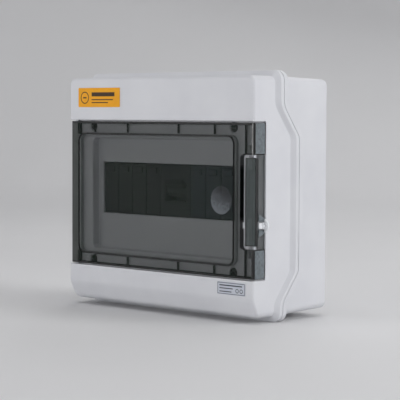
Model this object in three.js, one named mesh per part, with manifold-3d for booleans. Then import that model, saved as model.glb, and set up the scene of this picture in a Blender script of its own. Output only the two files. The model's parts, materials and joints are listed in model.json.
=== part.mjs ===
// Wall-mounted DC combiner box: a moulded cover and base with a stepped seam, a smoked door with a flip
// latch, and the string fuses, breaker and surge protector on a rail behind the cover's cut-out.
// Millimetres. +X is right, +Z is up and the door faces -Y. The origin is the centre of the flat back.
// Places along Y are given as depths measured back from the cover's front plane.

import * as THREE from 'three';
import { mergeVertices } from 'three/addons/utils/BufferGeometryUtils.js';
import Module from 'manifold-3d';

const wasm = await Module();
wasm.setup();

// ---- driving dimensions ----
const DEPTH = 96.6;
const BODY = { width: 225.8, height: 200.4, corner: 6 };
const FLANGE = { width: 233, height: 210, corner: 9 };
const WALL = 2.8;
const TOUCH_GAP = 0.3;
// Cutters run this far past the faces they cut, and joined pieces this far into each other.
const PAST = 1;
const ROUND_SIDES = 16;
const HINGE_SIDES = 28;
const PIN_SIDES = 12;

const SEAM = { shallow: 33.6, deep: 53.4, gap: 1.6, topKnee: [75.4, 49.5], bottomKnee: [-63.1, -88.5] };
const BEAD = { front: 3.7, back: 4.9 };
const GASKET = { thickness: 1.0, setback: 1.4, width: 3.6 };
const BASE_BACK = { width: 222.2, height: 196.8, fillet: 5 };
const CHAMFER = { top: -84.7, depth: 10.4, wallShift: 2 };

const BAY = { bottom: -68.4, top: 62.7, depth: 5, plate: 2.5, sideDepth: 15.2, sideInset: 2.8 };
const RECESS = { halfWidth: 87, bottom: -52.6, top: 47, depth: 12.7, wall: 2.3, corner: 4 };
const CUTOUT = { halfWidth: 81.5, centreZ: 2, height: 46 };
const POCKET = { left: 98.7, right: 107.6, bottom: -19.4, top: 26, depth: 13.5, wall: 2.3 };
const LATCH_RELIEF = { left: 103.2, bottom: -50.5, top: 43, depth: 9.2, wall: 2.2 };

const HINGE = { x: -107.4, depth: 5.4, knuckle: 5.4, trough: 6, troughWall: 2.2, pin: 1.9, bore: 2.15 };
const HINGE_BOSS = { length: 12, housing: 4.6, housingLength: 8, bore: 6.6, pinEnd: 6.3, hookEnd: 150 };
const DOOR = { halfWidth: 112.8, gap: 1.2, plate: 2.6, corner: 3, returnDepth: 14.6, returnWall: 2.5 };
const DOOR_RIM = { left: -100.8, front: 0.2, depth: 4.6, width: 2 };
const RIB = { depth: 4.4, width: 1, offsets: [-74, -31.4, 31.4, 74], corner: 103.3 };
const WINDOW = { x: -4.9, z: -3.35, width: 191, height: 107.5, corner: 7, seal: 1.9 };
const DISH = { x: 76.8, z: -3.1, radius: 11.6, depth: 1.2 };
const SLOT = { left: 98, bottom: -42.6, top: 35.2, corner: 3, depth: 6.9, sideStep: 0.9 };

const LEVER = { left: 103.4, front: 0.25, thickness: 2.2, bottom: -39.9, top: 32.7, bore: 1.25 };
const LEVER_AXIS = { x: 110.3, depth: 4.6, radius: 2.3, frontAngle: -74, backAngle: 199 };
const CLAW = { bottom: -17, top: 23, left: 104.4, right: 106.2, tip: 107.2, depth: 12 };
const LATCH_PIN = { radius: 1, reach: 3.8, endGap: 0.4 };
const LATCH_BOSS = { height: 6.2, width: 4.8, front: 0.9, back: 7.1 };
const LUG = { z: -23.2, height: 5.2, clear: 1, eyeX: 111.4, eyeRadius: 5.7, eyeHole: 1.8, hole: 114.1 };
const LUG_EYE = { front: 13.2, back: 15, proud: 0.4 };
const GUSSET = { end: 13.6, nearHeight: 5.8, farHeight: 2.8 };

const COVER_SCREW = { x: 86, top: 57.5, bottom: -63.4, seat: 9, head: 3.9, headHeight: 3 };
const COVER_SCREW_SHANK = { shank: 1.9, length: 45 };
const SCREW_SLOT = { halfWidth: 0.5, depth: 1 };
const BOSS = { radius: 6, bore: 2.3, end: 38.4, counterbore: 4.3 };
const PILLAR = { radius: 5, bore: 2.05, front: 39.4, boreEnd: 58 };
const WALL_HOLE = { x: 93, z: 80, radius: 2.6, boss: 7, bossFront: 85, counterbore: 5.2, seat: 92 };
const PLUG_GAP = 0.3;
const KNOCKOUT = { x: [-60, 0, 60], depth: 68, radius: 10.5, groove: 1, floor: 98, sides: 24 };

const RAIL = { z: 2, lip: 74.5, web: 82, height: 35, webHeight: 25, sheet: 1, halfLength: 82 };
const RAIL_SCREW = { x: 78, head: 3.8, headHeight: 2.4, shank: 1.7, length: 8, hole: 2.2 };
const RAIL_POST = { radius: 5.5, bore: 1.85, boreLength: 10 };

const POLE = 18;
const DEVICE = { gap: 0.4, nose: 14.5, noseHeight: 44.6, shoulder: 30.5, height: 81 };
const DEVICE_FOOT = { depth: 79, half: 27 };
const TERMINAL = { halfWidth: 3.4, front: 37, back: 46, deep: 9 };
const CARRIER = { width: 17.2, tongue: 13.6, tongueHeight: 41.4, tongueEnd: 54 };
const CAVITY = { width: 14.4, height: 42.2, end: 56 };
const FUSE = { radius: 5.1, length: 38, depth: 46, channel: 10.7, channelLength: 39, channelFront: 40.6 };
const GRIP = { width: 9, height: 5, fromTop: 3, proud: 1.6 };
const TOGGLE = { depth: 21.5, barrel: 5.6, width: 25, restAngle: 40 };
const PADDLE = { reach: 13.5, thick: 4, width: 20 };
const TOGGLE_SLOT = { halfHeight: 9.6, sideGap: 0.5, end: 28 };
const FUSE_X = [-72, -54, -36, -18];
const BREAKER_X = 9;
const SURGE_X = 54;

const COMB = { thick: 2.6, height: 4, prong: 3.2, prongLength: 6, depth: 41.5, clear: 0.6 };
const WIRE = { radius: 2.3, sides: 8, steps: 5, terminalDepth: 41.5, entry: 5, lean: 6, drop: 10 };
const EARTH = { x: -35, z: -74, width: 62, height: 8, front: 70, back: 78, wireHole: 1.9, wireDepth: 74.8 };
const EARTH_SCREW = { head: 2.6, headHeight: 2.3, shank: 1.5, length: 5, bore: 1.7 };
const EARTH_SCREW_X = [-56, -42, -28, -14];
const EARTH_STAND = { strapBack: 81, strapHalf: 3, footWidth: 7, footHalf: 4 };

const AMBER_LABEL = { x: -73.3, z: 82.8, width: 54.4, height: 17.2 };
const RATING_LABEL = { x: 88.8, z: -76.2, width: 31.6, height: 10.6 };
const LABEL = { back: -0.1, thickness: 0.3, corner: 0.8 };

// ---- materials ----
const plastic = (color, roughness) => new THREE.MeshStandardMaterial({ color, roughness, metalness: 0 });
const metal = (color, roughness) => new THREE.MeshStandardMaterial({ color, roughness, metalness: 1 });
const SHELL_GREY = plastic(0xd3d5d9, 0.42);
const SMOKED = new THREE.MeshStandardMaterial({
  color: 0x4e5552,
  roughness: 0.12,
  metalness: 0,
  transparent: true,
  opacity: 0.55,
});
const SEAL_BLACK = plastic(0x111213, 0.75);
const LUG_WHITE = plastic(0xe9ebee, 0.35);
const DEVICE_DARK = plastic(0x25282b, 0.5);
const CARRIER_DARK = plastic(0x1d2023, 0.45);
const SURGE_SLATE = plastic(0x27323c, 0.45);
const CERAMIC = plastic(0xe6e2d6, 0.5);
const WIRE_RED = plastic(0xa01818, 0.45);
const WIRE_BLACK = plastic(0x151515, 0.45);
const WIRE_EARTH = plastic(0x2f8a3a, 0.45);
const ZINC = metal(0xb9bdc1, 0.35);
const BLACKENED = metal(0x1b1c1e, 0.45);
const BRASS = metal(0xb8924a, 0.35);
const COPPER = metal(0xb06a43, 0.35);
const AMBER = plastic(0xe3a30c, 0.5);
const SILVER_FILM = plastic(0xb9bdc4, 0.45);

// ---- geometry helpers ----
const yAt = (depth) => depth - DEPTH;
const degrees = (angle) => THREE.MathUtils.degToRad(angle);

function polygon(points) {
  return new THREE.Shape(points.map(([a, b]) => new THREE.Vector2(a, b)));
}

function roundedRect(width, height, radius, x = 0, z = 0) {
  const halfW = width / 2 - radius;
  const halfH = height / 2 - radius;
  const shape = new THREE.Shape();
  shape.absarc(x + halfW, z + halfH, radius, 0, Math.PI / 2, false);
  shape.absarc(x - halfW, z + halfH, radius, Math.PI / 2, Math.PI, false);
  shape.absarc(x - halfW, z - halfH, radius, Math.PI, 1.5 * Math.PI, false);
  shape.absarc(x + halfW, z - halfH, radius, 1.5 * Math.PI, 2 * Math.PI, false);
  shape.closePath();
  return shape;
}

// A prism along Y between two depths from a shape drawn in X and Z; bevel rounds both ends inwards.
function prismY(shape, front, back, bevel = 0, curveSegments = 5) {
  const geometry = new THREE.ExtrudeGeometry(shape, {
    depth: back - front - 2 * bevel,
    curveSegments,
    bevelEnabled: bevel > 0,
    bevelThickness: bevel,
    bevelSize: bevel,
    bevelOffset: -bevel,
    bevelSegments: 3,
  });
  geometry.rotateX(Math.PI / 2);
  geometry.translate(0, yAt(back - bevel), 0);
  return geometry;
}

// A prism along X from a shape drawn in depth and Z.
function prismX(shape, left, right) {
  const geometry = new THREE.ExtrudeGeometry(shape, { depth: right - left, bevelEnabled: false });
  const axes = new THREE.Matrix4().makeBasis(
    new THREE.Vector3(0, 1, 0),
    new THREE.Vector3(0, 0, 1),
    new THREE.Vector3(1, 0, 0),
  );
  geometry.applyMatrix4(axes);
  geometry.translate(left, yAt(0), 0);
  return geometry;
}

// A prism along Z from a shape drawn in X and depth.
function prismZ(shape, bottom, top) {
  const settings = { depth: top - bottom, bevelEnabled: false, curveSegments: 6 };
  const geometry = new THREE.ExtrudeGeometry(shape, settings);
  geometry.translate(0, yAt(0), bottom);
  return geometry;
}

function block(left, right, front, back, bottom, top) {
  const geometry = new THREE.BoxGeometry(right - left, back - front, top - bottom);
  geometry.translate((left + right) / 2, yAt((front + back) / 2), (bottom + top) / 2);
  return geometry;
}

function rodY(x, z, radius, front, back, sides = ROUND_SIDES) {
  const geometry = new THREE.CylinderGeometry(radius, radius, back - front, sides);
  geometry.translate(x, yAt((front + back) / 2), z);
  return geometry;
}

function rodZ(x, depth, radius, bottom, top, sides = ROUND_SIDES) {
  const geometry = new THREE.CylinderGeometry(radius, radius, top - bottom, sides);
  geometry.rotateX(Math.PI / 2);
  geometry.translate(x, yAt(depth), (bottom + top) / 2);
  return geometry;
}

function rodX(depth, z, radius, left, right, sides = ROUND_SIDES) {
  const geometry = new THREE.CylinderGeometry(radius, radius, right - left, sides);
  geometry.rotateZ(Math.PI / 2);
  geometry.translate((left + right) / 2, yAt(depth), z);
  return geometry;
}

// Narrows a prism evenly towards the back, to backWidth by backHeight at the back plane.
function taperToBack(geometry, startDepth, full, backWidth, backHeight) {
  const position = geometry.attributes.position;
  for (let i = 0; i < position.count; i += 1) {
    const share = Math.max(0, (position.getY(i) - yAt(startDepth)) / (DEPTH - startDepth));
    position.setX(i, position.getX(i) * (1 + share * (backWidth / full.width - 1)));
    position.setZ(i, position.getZ(i) * (1 + share * (backHeight / full.height - 1)));
  }
  return geometry;
}

// ---- boolean helpers ----
function solid(geometry) {
  const bare = geometry.clone();
  bare.deleteAttribute('normal');
  bare.deleteAttribute('uv');
  const merged = mergeVertices(bare, 1e-4);
  const vertProperties = new Float32Array(merged.attributes.position.array);
  const triVerts = new Uint32Array(merged.index.array);
  return new wasm.Manifold(new wasm.Mesh({ numProp: 3, vertProperties, triVerts }));
}

function joined(...geometries) {
  return geometries.map(solid).reduce((sum, next) => sum.add(next));
}

function without(body, ...geometries) {
  return geometries.map(solid).reduce((rest, next) => rest.subtract(next), body);
}

function toGeometry(body) {
  const mesh = body.getMesh();
  const geometry = new THREE.BufferGeometry();
  geometry.setAttribute('position', new THREE.BufferAttribute(mesh.vertProperties, 3));
  geometry.setIndex(new THREE.BufferAttribute(mesh.triVerts, 1));
  geometry.computeVertexNormals();
  return geometry;
}

const assembly = new THREE.Group();

function add(name, shape, material) {
  const geometry = shape.isBufferGeometry ? shape : toGeometry(shape);
  const mesh = new THREE.Mesh(geometry, material);
  mesh.name = name;
  assembly.add(mesh);
}

// ---- the stepped seam between cover and base ----
function seamLine(shift, reach) {
  return [
    [SEAM.shallow + shift, reach],
    [SEAM.shallow + shift, SEAM.topKnee[0]],
    [SEAM.deep + shift, SEAM.topKnee[1]],
    [SEAM.deep + shift, SEAM.bottomKnee[0]],
    [SEAM.shallow + shift, SEAM.bottomKnee[1]],
    [SEAM.shallow + shift, -reach],
  ];
}

// Everything between two offsets of the seam line; Infinity runs past the front or the back.
function seamBand(fromShift, toShift) {
  const reach = 160;
  const far = 2 * DEPTH;
  const front = Number.isFinite(fromShift) ? seamLine(fromShift, reach) : [[-far, reach], [-far, -reach]];
  const back = Number.isFinite(toShift) ? seamLine(toShift, reach) : [[far, reach], [far, -reach]];
  return prismX(polygon([...front, ...back.reverse()]), -reach, reach);
}

// ---- cover ----
function coverOutline(front, back, bevel) {
  return prismY(roundedRect(BODY.width, BODY.height, BODY.corner), front, back, bevel);
}

// The bottom front edge slopes away in a soft chamfer; inset moves the same line into the cover.
function bottomChamfer(inset = 0) {
  const under = -BODY.height / 2 - PAST;
  const line = [
    [-PAST, CHAMFER.top],
    [0, CHAMFER.top],
    [4.2, -94.4],
    [7, -98.6],
    [CHAMFER.depth, -BODY.height / 2],
    [CHAMFER.depth, under],
    [-PAST, under],
  ];
  const moved = line.map(([depth, z]) => [depth + inset, z + inset]);
  return prismX(polygon(moved), -BODY.width, BODY.width);
}

function screwPlaces() {
  const { x, top, bottom } = COVER_SCREW;
  return [[-x, top], [x, top], [-x, bottom], [x, bottom]];
}

function makeCover() {
  const reach = BODY.width;
  const frameWall = BAY.plate + BAY.sideInset - WALL;
  const sideX = BODY.width / 2 - BAY.sideInset;
  const ledge = BAY.sideDepth + BAY.plate;
  const skin = solid(coverOutline(0, SEAM.deep + 20, 2.5));
  const bead = solid(prismY(roundedRect(FLANGE.width, FLANGE.height, FLANGE.corner), 20, SEAM.deep + 20));
  const beadBand = bead.intersect(solid(seamBand(-BEAD.front, Infinity)));
  const front = skin.add(beadBand).intersect(solid(seamBand(-Infinity, -SEAM.gap / 2)));
  const innerOutline = roundedRect(BODY.width - 2 * WALL, BODY.height - 2 * WALL, BODY.corner - WALL);
  const wholeCavity = solid(prismY(innerOutline, WALL, SEAM.deep + 30));
  const cavity = without(wholeCavity, bottomChamfer(CHAMFER.wallShift));
  const inner = joined(
    block(-reach / 2, reach / 2, 0, ledge, BAY.bottom - BAY.plate, BAY.top + BAY.plate),
    rodZ(HINGE.x, HINGE.depth, HINGE_BOSS.housing, BAY.top, BAY.top + HINGE_BOSS.housingLength),
    rodZ(HINGE.x, HINGE.depth, HINGE_BOSS.housing, BAY.bottom - HINGE_BOSS.housingLength, BAY.bottom),
  ).intersect(skin);
  const hollow = block(
    -sideX + frameWall,
    sideX - frameWall,
    BAY.depth + BAY.plate,
    ledge + PAST,
    BAY.bottom,
    BAY.top,
  );
  const recess = (grow, recessFront, recessBack) => {
    const width = 2 * (RECESS.halfWidth + grow);
    const height = RECESS.top - RECESS.bottom + 2 * grow;
    const outline = roundedRect(width, height, RECESS.corner + grow, 0, (RECESS.top + RECESS.bottom) / 2);
    return prismY(outline, recessFront, recessBack);
  };
  const trough = solid(
    rodZ(HINGE.x, HINGE.depth, HINGE.trough + HINGE.troughWall, BAY.bottom, BAY.top, HINGE_SIDES),
  ).intersect(skin);
  const linings = joined(
    recess(RECESS.wall, BAY.depth, RECESS.depth + RECESS.wall),
    block(
      POCKET.left - POCKET.wall,
      sideX,
      BAY.depth,
      POCKET.depth + POCKET.wall,
      POCKET.bottom - POCKET.wall,
      POCKET.top + POCKET.wall,
    ),
    block(
      LATCH_RELIEF.left - LATCH_RELIEF.wall,
      sideX,
      BAY.depth,
      LATCH_RELIEF.depth + LATCH_RELIEF.wall,
      LATCH_RELIEF.bottom - LATCH_RELIEF.wall,
      LATCH_RELIEF.top + LATCH_RELIEF.wall,
    ),
    ...screwPlaces().map(([x, z]) => rodY(x, z, BOSS.radius, BAY.depth, BOSS.end)),
  );
  const frame = front.subtract(cavity).add(without(inner, hollow)).add(trough).add(linings);
  const { bore } = HINGE_BOSS;
  return without(
    frame,
    block(-reach, reach, -PAST, BAY.depth, BAY.bottom, BAY.top),
    block(sideX, reach, -PAST, BAY.sideDepth, BAY.bottom, BAY.top),
    block(-reach, -sideX, -PAST, HINGE.depth + HINGE.trough, BAY.bottom, BAY.top),
    rodZ(HINGE.x, HINGE.depth, HINGE.trough, BAY.bottom, BAY.top, HINGE_SIDES),
    rodZ(HINGE.x, HINGE.depth, HINGE.bore, BAY.bottom - bore, BAY.top + bore),
    recess(0, -PAST, RECESS.depth),
    block(
      -CUTOUT.halfWidth,
      CUTOUT.halfWidth,
      0,
      RECESS.depth + RECESS.wall + PAST,
      CUTOUT.centreZ - CUTOUT.height / 2,
      CUTOUT.centreZ + CUTOUT.height / 2,
    ),
    block(POCKET.left, POCKET.right, -PAST, POCKET.depth, POCKET.bottom, POCKET.top),
    block(LATCH_RELIEF.left, reach, -PAST, LATCH_RELIEF.depth, LATCH_RELIEF.bottom, LATCH_RELIEF.top),
    ...screwPlaces().flatMap(([x, z]) => [
      rodY(x, z, BOSS.bore, BAY.depth - PAST, BOSS.end + PAST),
      rodY(x, z, BOSS.counterbore, BAY.depth - PAST, COVER_SCREW.seat),
    ]),
    bottomChamfer(),
  );
}

// ---- base ----
function makeBase() {
  const start = SEAM.shallow;
  const outerPrism = prismY(roundedRect(BODY.width, BODY.height, BODY.corner), 20, DEPTH, BASE_BACK.fillet);
  const outer = solid(taperToBack(outerPrism, start, BODY, BASE_BACK.width, BASE_BACK.height));
  const rim = solid(prismY(roundedRect(FLANGE.width, FLANGE.height, FLANGE.corner), 20, SEAM.deep + 20));
  const rimBand = rim.intersect(solid(seamBand(-Infinity, BEAD.back)));
  const innerSize = { width: BODY.width - 2 * WALL, height: BODY.height - 2 * WALL };
  const innerOutline = roundedRect(innerSize.width, innerSize.height, BODY.corner - WALL);
  const cavity = taperToBack(
    prismY(innerOutline, 10, DEPTH - WALL),
    start,
    innerSize,
    BASE_BACK.width - 2 * WALL,
    BASE_BACK.height - 2 * WALL,
  );
  const shell = without(outer.add(rimBand), cavity).intersect(solid(seamBand(SEAM.gap / 2, Infinity)));
  const inside = DEPTH - WALL / 2;
  const wallHoles = [-1, 1].flatMap((sx) => [-1, 1].map((sz) => [sx * WALL_HOLE.x, sz * WALL_HOLE.z]));
  const posts = joined(
    ...screwPlaces().map(([x, z]) => rodY(x, z, PILLAR.radius, PILLAR.front, inside)),
    ...[-1, 1].map((side) =>
      rodY(side * RAIL_SCREW.x, RAIL.z, RAIL_POST.radius, RAIL.web + TOUCH_GAP, inside),
    ),
    ...wallHoles.map(([x, z]) => rodY(x, z, WALL_HOLE.boss, WALL_HOLE.bossFront, inside)),
  );
  const grooves = KNOCKOUT.x.flatMap((x) =>
    [-1, 1].map((side) => {
      const { depth, radius, groove, floor, sides } = KNOCKOUT;
      const past = FLANGE.height / 2 + PAST;
      const disc = rodZ(x, depth, radius - groove, floor - PAST, past + PAST, sides);
      const ring = without(solid(rodZ(x, depth, radius, floor, past, sides)), disc);
      return side > 0 ? ring : ring.mirror([0, 0, 1]);
    }),
  );
  const drilled = without(
    shell.add(posts),
    ...screwPlaces().map(([x, z]) => rodY(x, z, PILLAR.bore, PILLAR.front - PAST, PILLAR.boreEnd)),
    ...[-1, 1].map((side) =>
      rodY(side * RAIL_SCREW.x, RAIL.z, RAIL_POST.bore, RAIL.web, RAIL.web + RAIL_POST.boreLength),
    ),
    ...wallHoles.flatMap(([x, z]) => [
      rodY(x, z, WALL_HOLE.radius, WALL_HOLE.bossFront, DEPTH + PAST),
      rodY(x, z, WALL_HOLE.counterbore, WALL_HOLE.bossFront - PAST, WALL_HOLE.seat),
    ]),
  );
  return { base: grooves.reduce((rest, ring) => rest.subtract(ring), drilled), wallHoles };
}

function makeGasket() {
  const inset = 2 * GASKET.setback;
  const outer = roundedRect(FLANGE.width - inset, FLANGE.height - inset, FLANGE.corner - GASKET.setback);
  const inner = roundedRect(
    FLANGE.width - inset - 2 * GASKET.width,
    FLANGE.height - inset - 2 * GASKET.width,
    FLANGE.corner - GASKET.setback - GASKET.width,
  );
  const [front, back] = [SEAM.shallow - GASKET.thickness, SEAM.deep + GASKET.thickness];
  const ring = without(solid(prismY(outer, front, back)), prismY(inner, front - PAST, back + PAST));
  return ring.intersect(solid(seamBand(-GASKET.thickness / 2, GASKET.thickness / 2)));
}

// ---- door ----
function doorSection() {
  const { x, depth, knuckle } = HINGE;
  const inner = knuckle - DOOR.plate;
  const hookEnd = degrees(HINGE_BOSS.hookEnd);
  const front = degrees(270);
  const cornerX = DOOR.halfWidth - DOOR.corner;
  const shape = new THREE.Shape();
  shape.moveTo(x, 0);
  shape.lineTo(cornerX, 0);
  shape.absarc(cornerX, DOOR.corner, DOOR.corner, -Math.PI / 2, 0, false);
  shape.lineTo(DOOR.halfWidth, DOOR.returnDepth);
  shape.lineTo(DOOR.halfWidth - DOOR.returnWall, DOOR.returnDepth);
  shape.lineTo(DOOR.halfWidth - DOOR.returnWall, DOOR.plate);
  shape.lineTo(x, DOOR.plate);
  shape.absarc(x, depth, inner, front, hookEnd, true);
  shape.lineTo(x + knuckle * Math.cos(hookEnd), depth + knuckle * Math.sin(hookEnd));
  shape.absarc(x, depth, knuckle, hookEnd, front, false);
  return shape;
}

function slotShape() {
  const { left, bottom, top, corner } = SLOT;
  const shape = new THREE.Shape();
  shape.moveTo(DOOR.halfWidth + PAST, bottom);
  shape.lineTo(DOOR.halfWidth + PAST, top);
  shape.lineTo(left + corner, top);
  shape.absarc(left + corner, top - corner, corner, Math.PI / 2, Math.PI, false);
  shape.absarc(left + corner, bottom + corner, corner, Math.PI, 1.5 * Math.PI, false);
  shape.closePath();
  return shape;
}

function dishLens() {
  const { radius, depth } = DISH;
  const sphere = (radius * radius + depth * depth) / (2 * depth);
  const steps = 4;
  const points = [new THREE.Vector2(0, -PAST), new THREE.Vector2(radius, -PAST)];
  for (let i = 0; i <= steps; i += 1) {
    const r = (radius * (steps - i)) / steps;
    points.push(new THREE.Vector2(r, Math.sqrt(sphere * sphere - r * r) - (sphere - depth)));
  }
  const geometry = new THREE.LatheGeometry(points, 24);
  geometry.translate(DISH.x, yAt(0), DISH.z);
  return geometry;
}

function gusset(side) {
  const edge = LUG.height / 2 + LUG.clear;
  const corners = [
    [SLOT.depth, edge],
    [SLOT.depth, edge + GUSSET.nearHeight],
    [GUSSET.end, edge + GUSSET.farHeight],
    [GUSSET.end, edge],
  ];
  const shape = polygon(corners.map(([depth, z]) => [depth, LUG.z + side * z]));
  return prismX(shape, DOOR.halfWidth - DOOR.returnWall, DOOR.halfWidth);
}

function makeDoor() {
  const bottom = BAY.bottom + DOOR.gap;
  const top = BAY.top - DOOR.gap;
  const rimRight = DOOR.halfWidth - DOOR.returnWall / 2;
  const { left: rimLeft, front: rimFront, depth: rimDepth, width: rimWidth } = DOOR_RIM;
  const windowTop = WINDOW.z + WINDOW.height / 2 + WINDOW.seal;
  const windowBottom = WINDOW.z - WINDOW.height / 2 - WINDOW.seal;
  const inPlate = DOOR.plate - PAST;
  const cornerRib = RIB.corner - RIB.width / 2;
  const ribs = RIB.offsets.flatMap((offset) => {
    const left = WINDOW.x + offset - RIB.width / 2;
    return [
      block(left, left + RIB.width, inPlate, RIB.depth, windowTop, top - PAST),
      block(left, left + RIB.width, inPlate, RIB.depth, bottom + PAST, windowBottom),
    ];
  });
  const panel = joined(
    prismZ(doorSection(), bottom, top),
    block(rimLeft, rimRight, rimFront, rimDepth, top - rimWidth, top),
    block(rimLeft, rimRight, rimFront, rimDepth, bottom, bottom + rimWidth),
    block(cornerRib, cornerRib + RIB.width, inPlate, RIB.depth, bottom + PAST, top - PAST),
    ...ribs,
    rodZ(HINGE.x, HINGE.depth, HINGE.knuckle, top - HINGE_BOSS.length, top, HINGE_SIDES),
    rodZ(HINGE.x, HINGE.depth, HINGE.knuckle, bottom, bottom + HINGE_BOSS.length, HINGE_SIDES),
  );
  const edge = DOOR.halfWidth;
  const opened = without(
    panel,
    dishLens(),
    prismY(slotShape(), -PAST, SLOT.depth),
    block(edge - SLOT.sideStep, edge + PAST, -PAST, DOOR.returnDepth + PAST, SLOT.bottom, SLOT.top),
    rodZ(HINGE.x, HINGE.depth, HINGE.bore, top - HINGE_BOSS.length + PAST, top + PAST),
    rodZ(HINGE.x, HINGE.depth, HINGE.bore, bottom - PAST, bottom + HINGE_BOSS.length - PAST),
  );
  const { height, width, front, back } = LATCH_BOSS;
  const [bossLeft, bossRight] = [LEVER_AXIS.x - width / 2, edge - SLOT.sideStep];
  const fitted = opened.add(
    joined(
      block(bossLeft, bossRight, front, back, SLOT.top, SLOT.top + height),
      block(bossLeft, bossRight, front, back, SLOT.bottom - height, SLOT.bottom),
      gusset(1),
      gusset(-1),
    ),
  );
  const lugSlot = LUG.height / 2 + LUG.clear;
  const pinBore = (low, high) => rodZ(LEVER_AXIS.x, LEVER_AXIS.depth, LEVER.bore, low, high, PIN_SIDES);
  return without(
    fitted,
    block(
      edge - DOOR.returnWall - PAST,
      edge + PAST,
      SLOT.depth - PAST,
      DOOR.returnDepth + PAST,
      LUG.z - lugSlot,
      LUG.z + lugSlot,
    ),
    pinBore(SLOT.bottom - LATCH_PIN.reach - LATCH_PIN.endGap, SLOT.bottom + PAST),
    pinBore(SLOT.top - PAST, SLOT.top + LATCH_PIN.reach + LATCH_PIN.endGap),
  );
}

function makeDoorGasket() {
  const { x, z, width, height, corner, seal } = WINDOW;
  const front = DOOR.plate + TOUCH_GAP;
  const back = BAY.depth - TOUCH_GAP;
  const outer = prismY(roundedRect(width + seal, height + seal, corner + seal / 2, x, z), front, back);
  const hole = roundedRect(width - seal, height - seal, corner - seal / 2, x, z);
  const inner = prismY(hole, front - PAST, back + PAST);
  return without(solid(outer), inner);
}

// ---- latch ----
function makeLever() {
  const { x, depth, radius } = LEVER_AXIS;
  const outerAngle = degrees(LEVER_AXIS.frontAngle);
  const innerAngle = degrees(LEVER_AXIS.backAngle);
  const section = new THREE.Shape();
  section.moveTo(LEVER.left, LEVER.front);
  section.lineTo(x + radius * Math.cos(outerAngle), depth + radius * Math.sin(outerAngle));
  section.absarc(x, depth, radius, outerAngle, innerAngle, false);
  section.lineTo(LEVER.left, LEVER.front + LEVER.thickness);
  section.closePath();
  const claw = polygon([
    [CLAW.left, LEVER.front + LEVER.thickness - 1],
    [CLAW.right, LEVER.front + LEVER.thickness - 0.4],
    [CLAW.right, CLAW.depth - 3],
    [CLAW.tip, CLAW.depth - 2],
    [CLAW.tip, CLAW.depth],
    [CLAW.left, CLAW.depth],
  ]);
  const body = joined(prismZ(section, LEVER.bottom, LEVER.top), prismZ(claw, CLAW.bottom, CLAW.top));
  return without(body, rodZ(x, depth, LEVER.bore, LEVER.bottom - PAST, LEVER.top + PAST, PIN_SIDES));
}

function makeSealLug() {
  const strip = polygon([
    [94, 3.5],
    [103.6, 3.5],
    [107.4, 7.3],
    [112.9, 7.3],
    [112.9, 13.4],
    [110.5, 13.4],
    [110.5, 8.9],
    [106.4, 8.9],
    [104.3, 6.8],
    [104.3, 5.6],
    [103.4, 4.7],
    [94, 4.7],
  ]);
  const bottom = LUG.z - LUG.height / 2;
  const { eyeX, eyeRadius } = LUG;
  const { front, back, proud } = LUG_EYE;
  const eyeLeft = DOOR.halfWidth + proud;
  const behindDoor = block(
    eyeX - eyeRadius - PAST,
    eyeLeft,
    front - PAST,
    back + PAST,
    LUG.z - eyeRadius,
    LUG.z + eyeRadius,
  );
  const eye = without(solid(rodY(eyeX, LUG.z, eyeRadius, front, back, HINGE_SIDES)), behindDoor);
  const bridge = block(eyeLeft - 2, eyeLeft + PAST / 2, front - 2, back, bottom, bottom + LUG.height);
  const body = joined(prismZ(strip, bottom, bottom + LUG.height), bridge).add(eye);
  return without(body, rodY(LUG.hole, LUG.z, LUG.eyeHole, front - PAST, back + PAST, PIN_SIDES));
}

// ---- screws ----
function screw(x, z, seat, size) {
  return joined(
    rodY(x, z, size.head, seat - size.headHeight, seat - TOUCH_GAP),
    rodY(x, z, size.shank, seat - PAST, seat + size.length, PIN_SIDES),
  );
}

function slottedScrew(x, z, seat, size) {
  const face = seat - size.headHeight;
  const { halfWidth, depth } = SCREW_SLOT;
  const slot = block(x - size.head, x + size.head, face - PAST, face + depth, z - halfWidth, z + halfWidth);
  return without(screw(x, z, seat, size), slot);
}

// ---- rail and the devices on it ----
function makeRail() {
  const { z, lip, web, height, webHeight, sheet, halfLength } = RAIL;
  const half = height / 2;
  const webHalf = webHeight / 2;
  const section = [
    [lip, half],
    [lip + sheet, half],
    [lip + sheet, webHalf + sheet],
    [web, webHalf + sheet],
    [web, -webHalf - sheet],
    [lip + sheet, -webHalf - sheet],
    [lip + sheet, -half],
    [lip, -half],
    [lip, -webHalf],
    [web - sheet, -webHalf],
    [web - sheet, webHalf],
    [lip, webHalf],
  ];
  const outline = polygon(section.map(([depth, dz]) => [depth, z + dz]));
  const rail = solid(prismX(outline, -halfLength, halfLength));
  const holes = [-1, 1].map((side) =>
    rodY(side * RAIL_SCREW.x, z, RAIL_SCREW.hole, web - sheet - PAST, web + PAST, PIN_SIDES),
  );
  return without(rail, ...holes);
}

// A rail device's side outline. Without its nose it ends at the shoulder, where a plug-in part carries on.
function deviceSection(withNose) {
  const { nose, noseHeight, shoulder, height } = DEVICE;
  const { depth: foot, half: footHalf } = DEVICE_FOOT;
  const back = RAIL.lip - TOUCH_GAP;
  const railHalf = RAIL.height / 2 + TOUCH_GAP;
  const noseHalf = noseHeight / 2;
  const half = height / 2;
  const noseLine = [[shoulder, -noseHalf], [nose, -noseHalf], [nose, noseHalf], [shoulder, noseHalf]];
  const line = [
    [back, -half],
    [shoulder, -half],
    ...(withNose ? noseLine : []),
    [shoulder, half],
    [back, half],
    [back, footHalf],
    [foot, footHalf],
    [foot, railHalf],
    [back, railHalf],
    [back, -railHalf],
    [foot, -railHalf],
    [foot, -footHalf],
    [back, -footHalf],
  ];
  return polygon(line.map(([depth, dz]) => [depth, RAIL.z + dz]));
}

function poleCentres(centre, poles) {
  return Array.from({ length: poles }, (_, i) => centre + (i - (poles - 1) / 2) * POLE);
}

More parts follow.
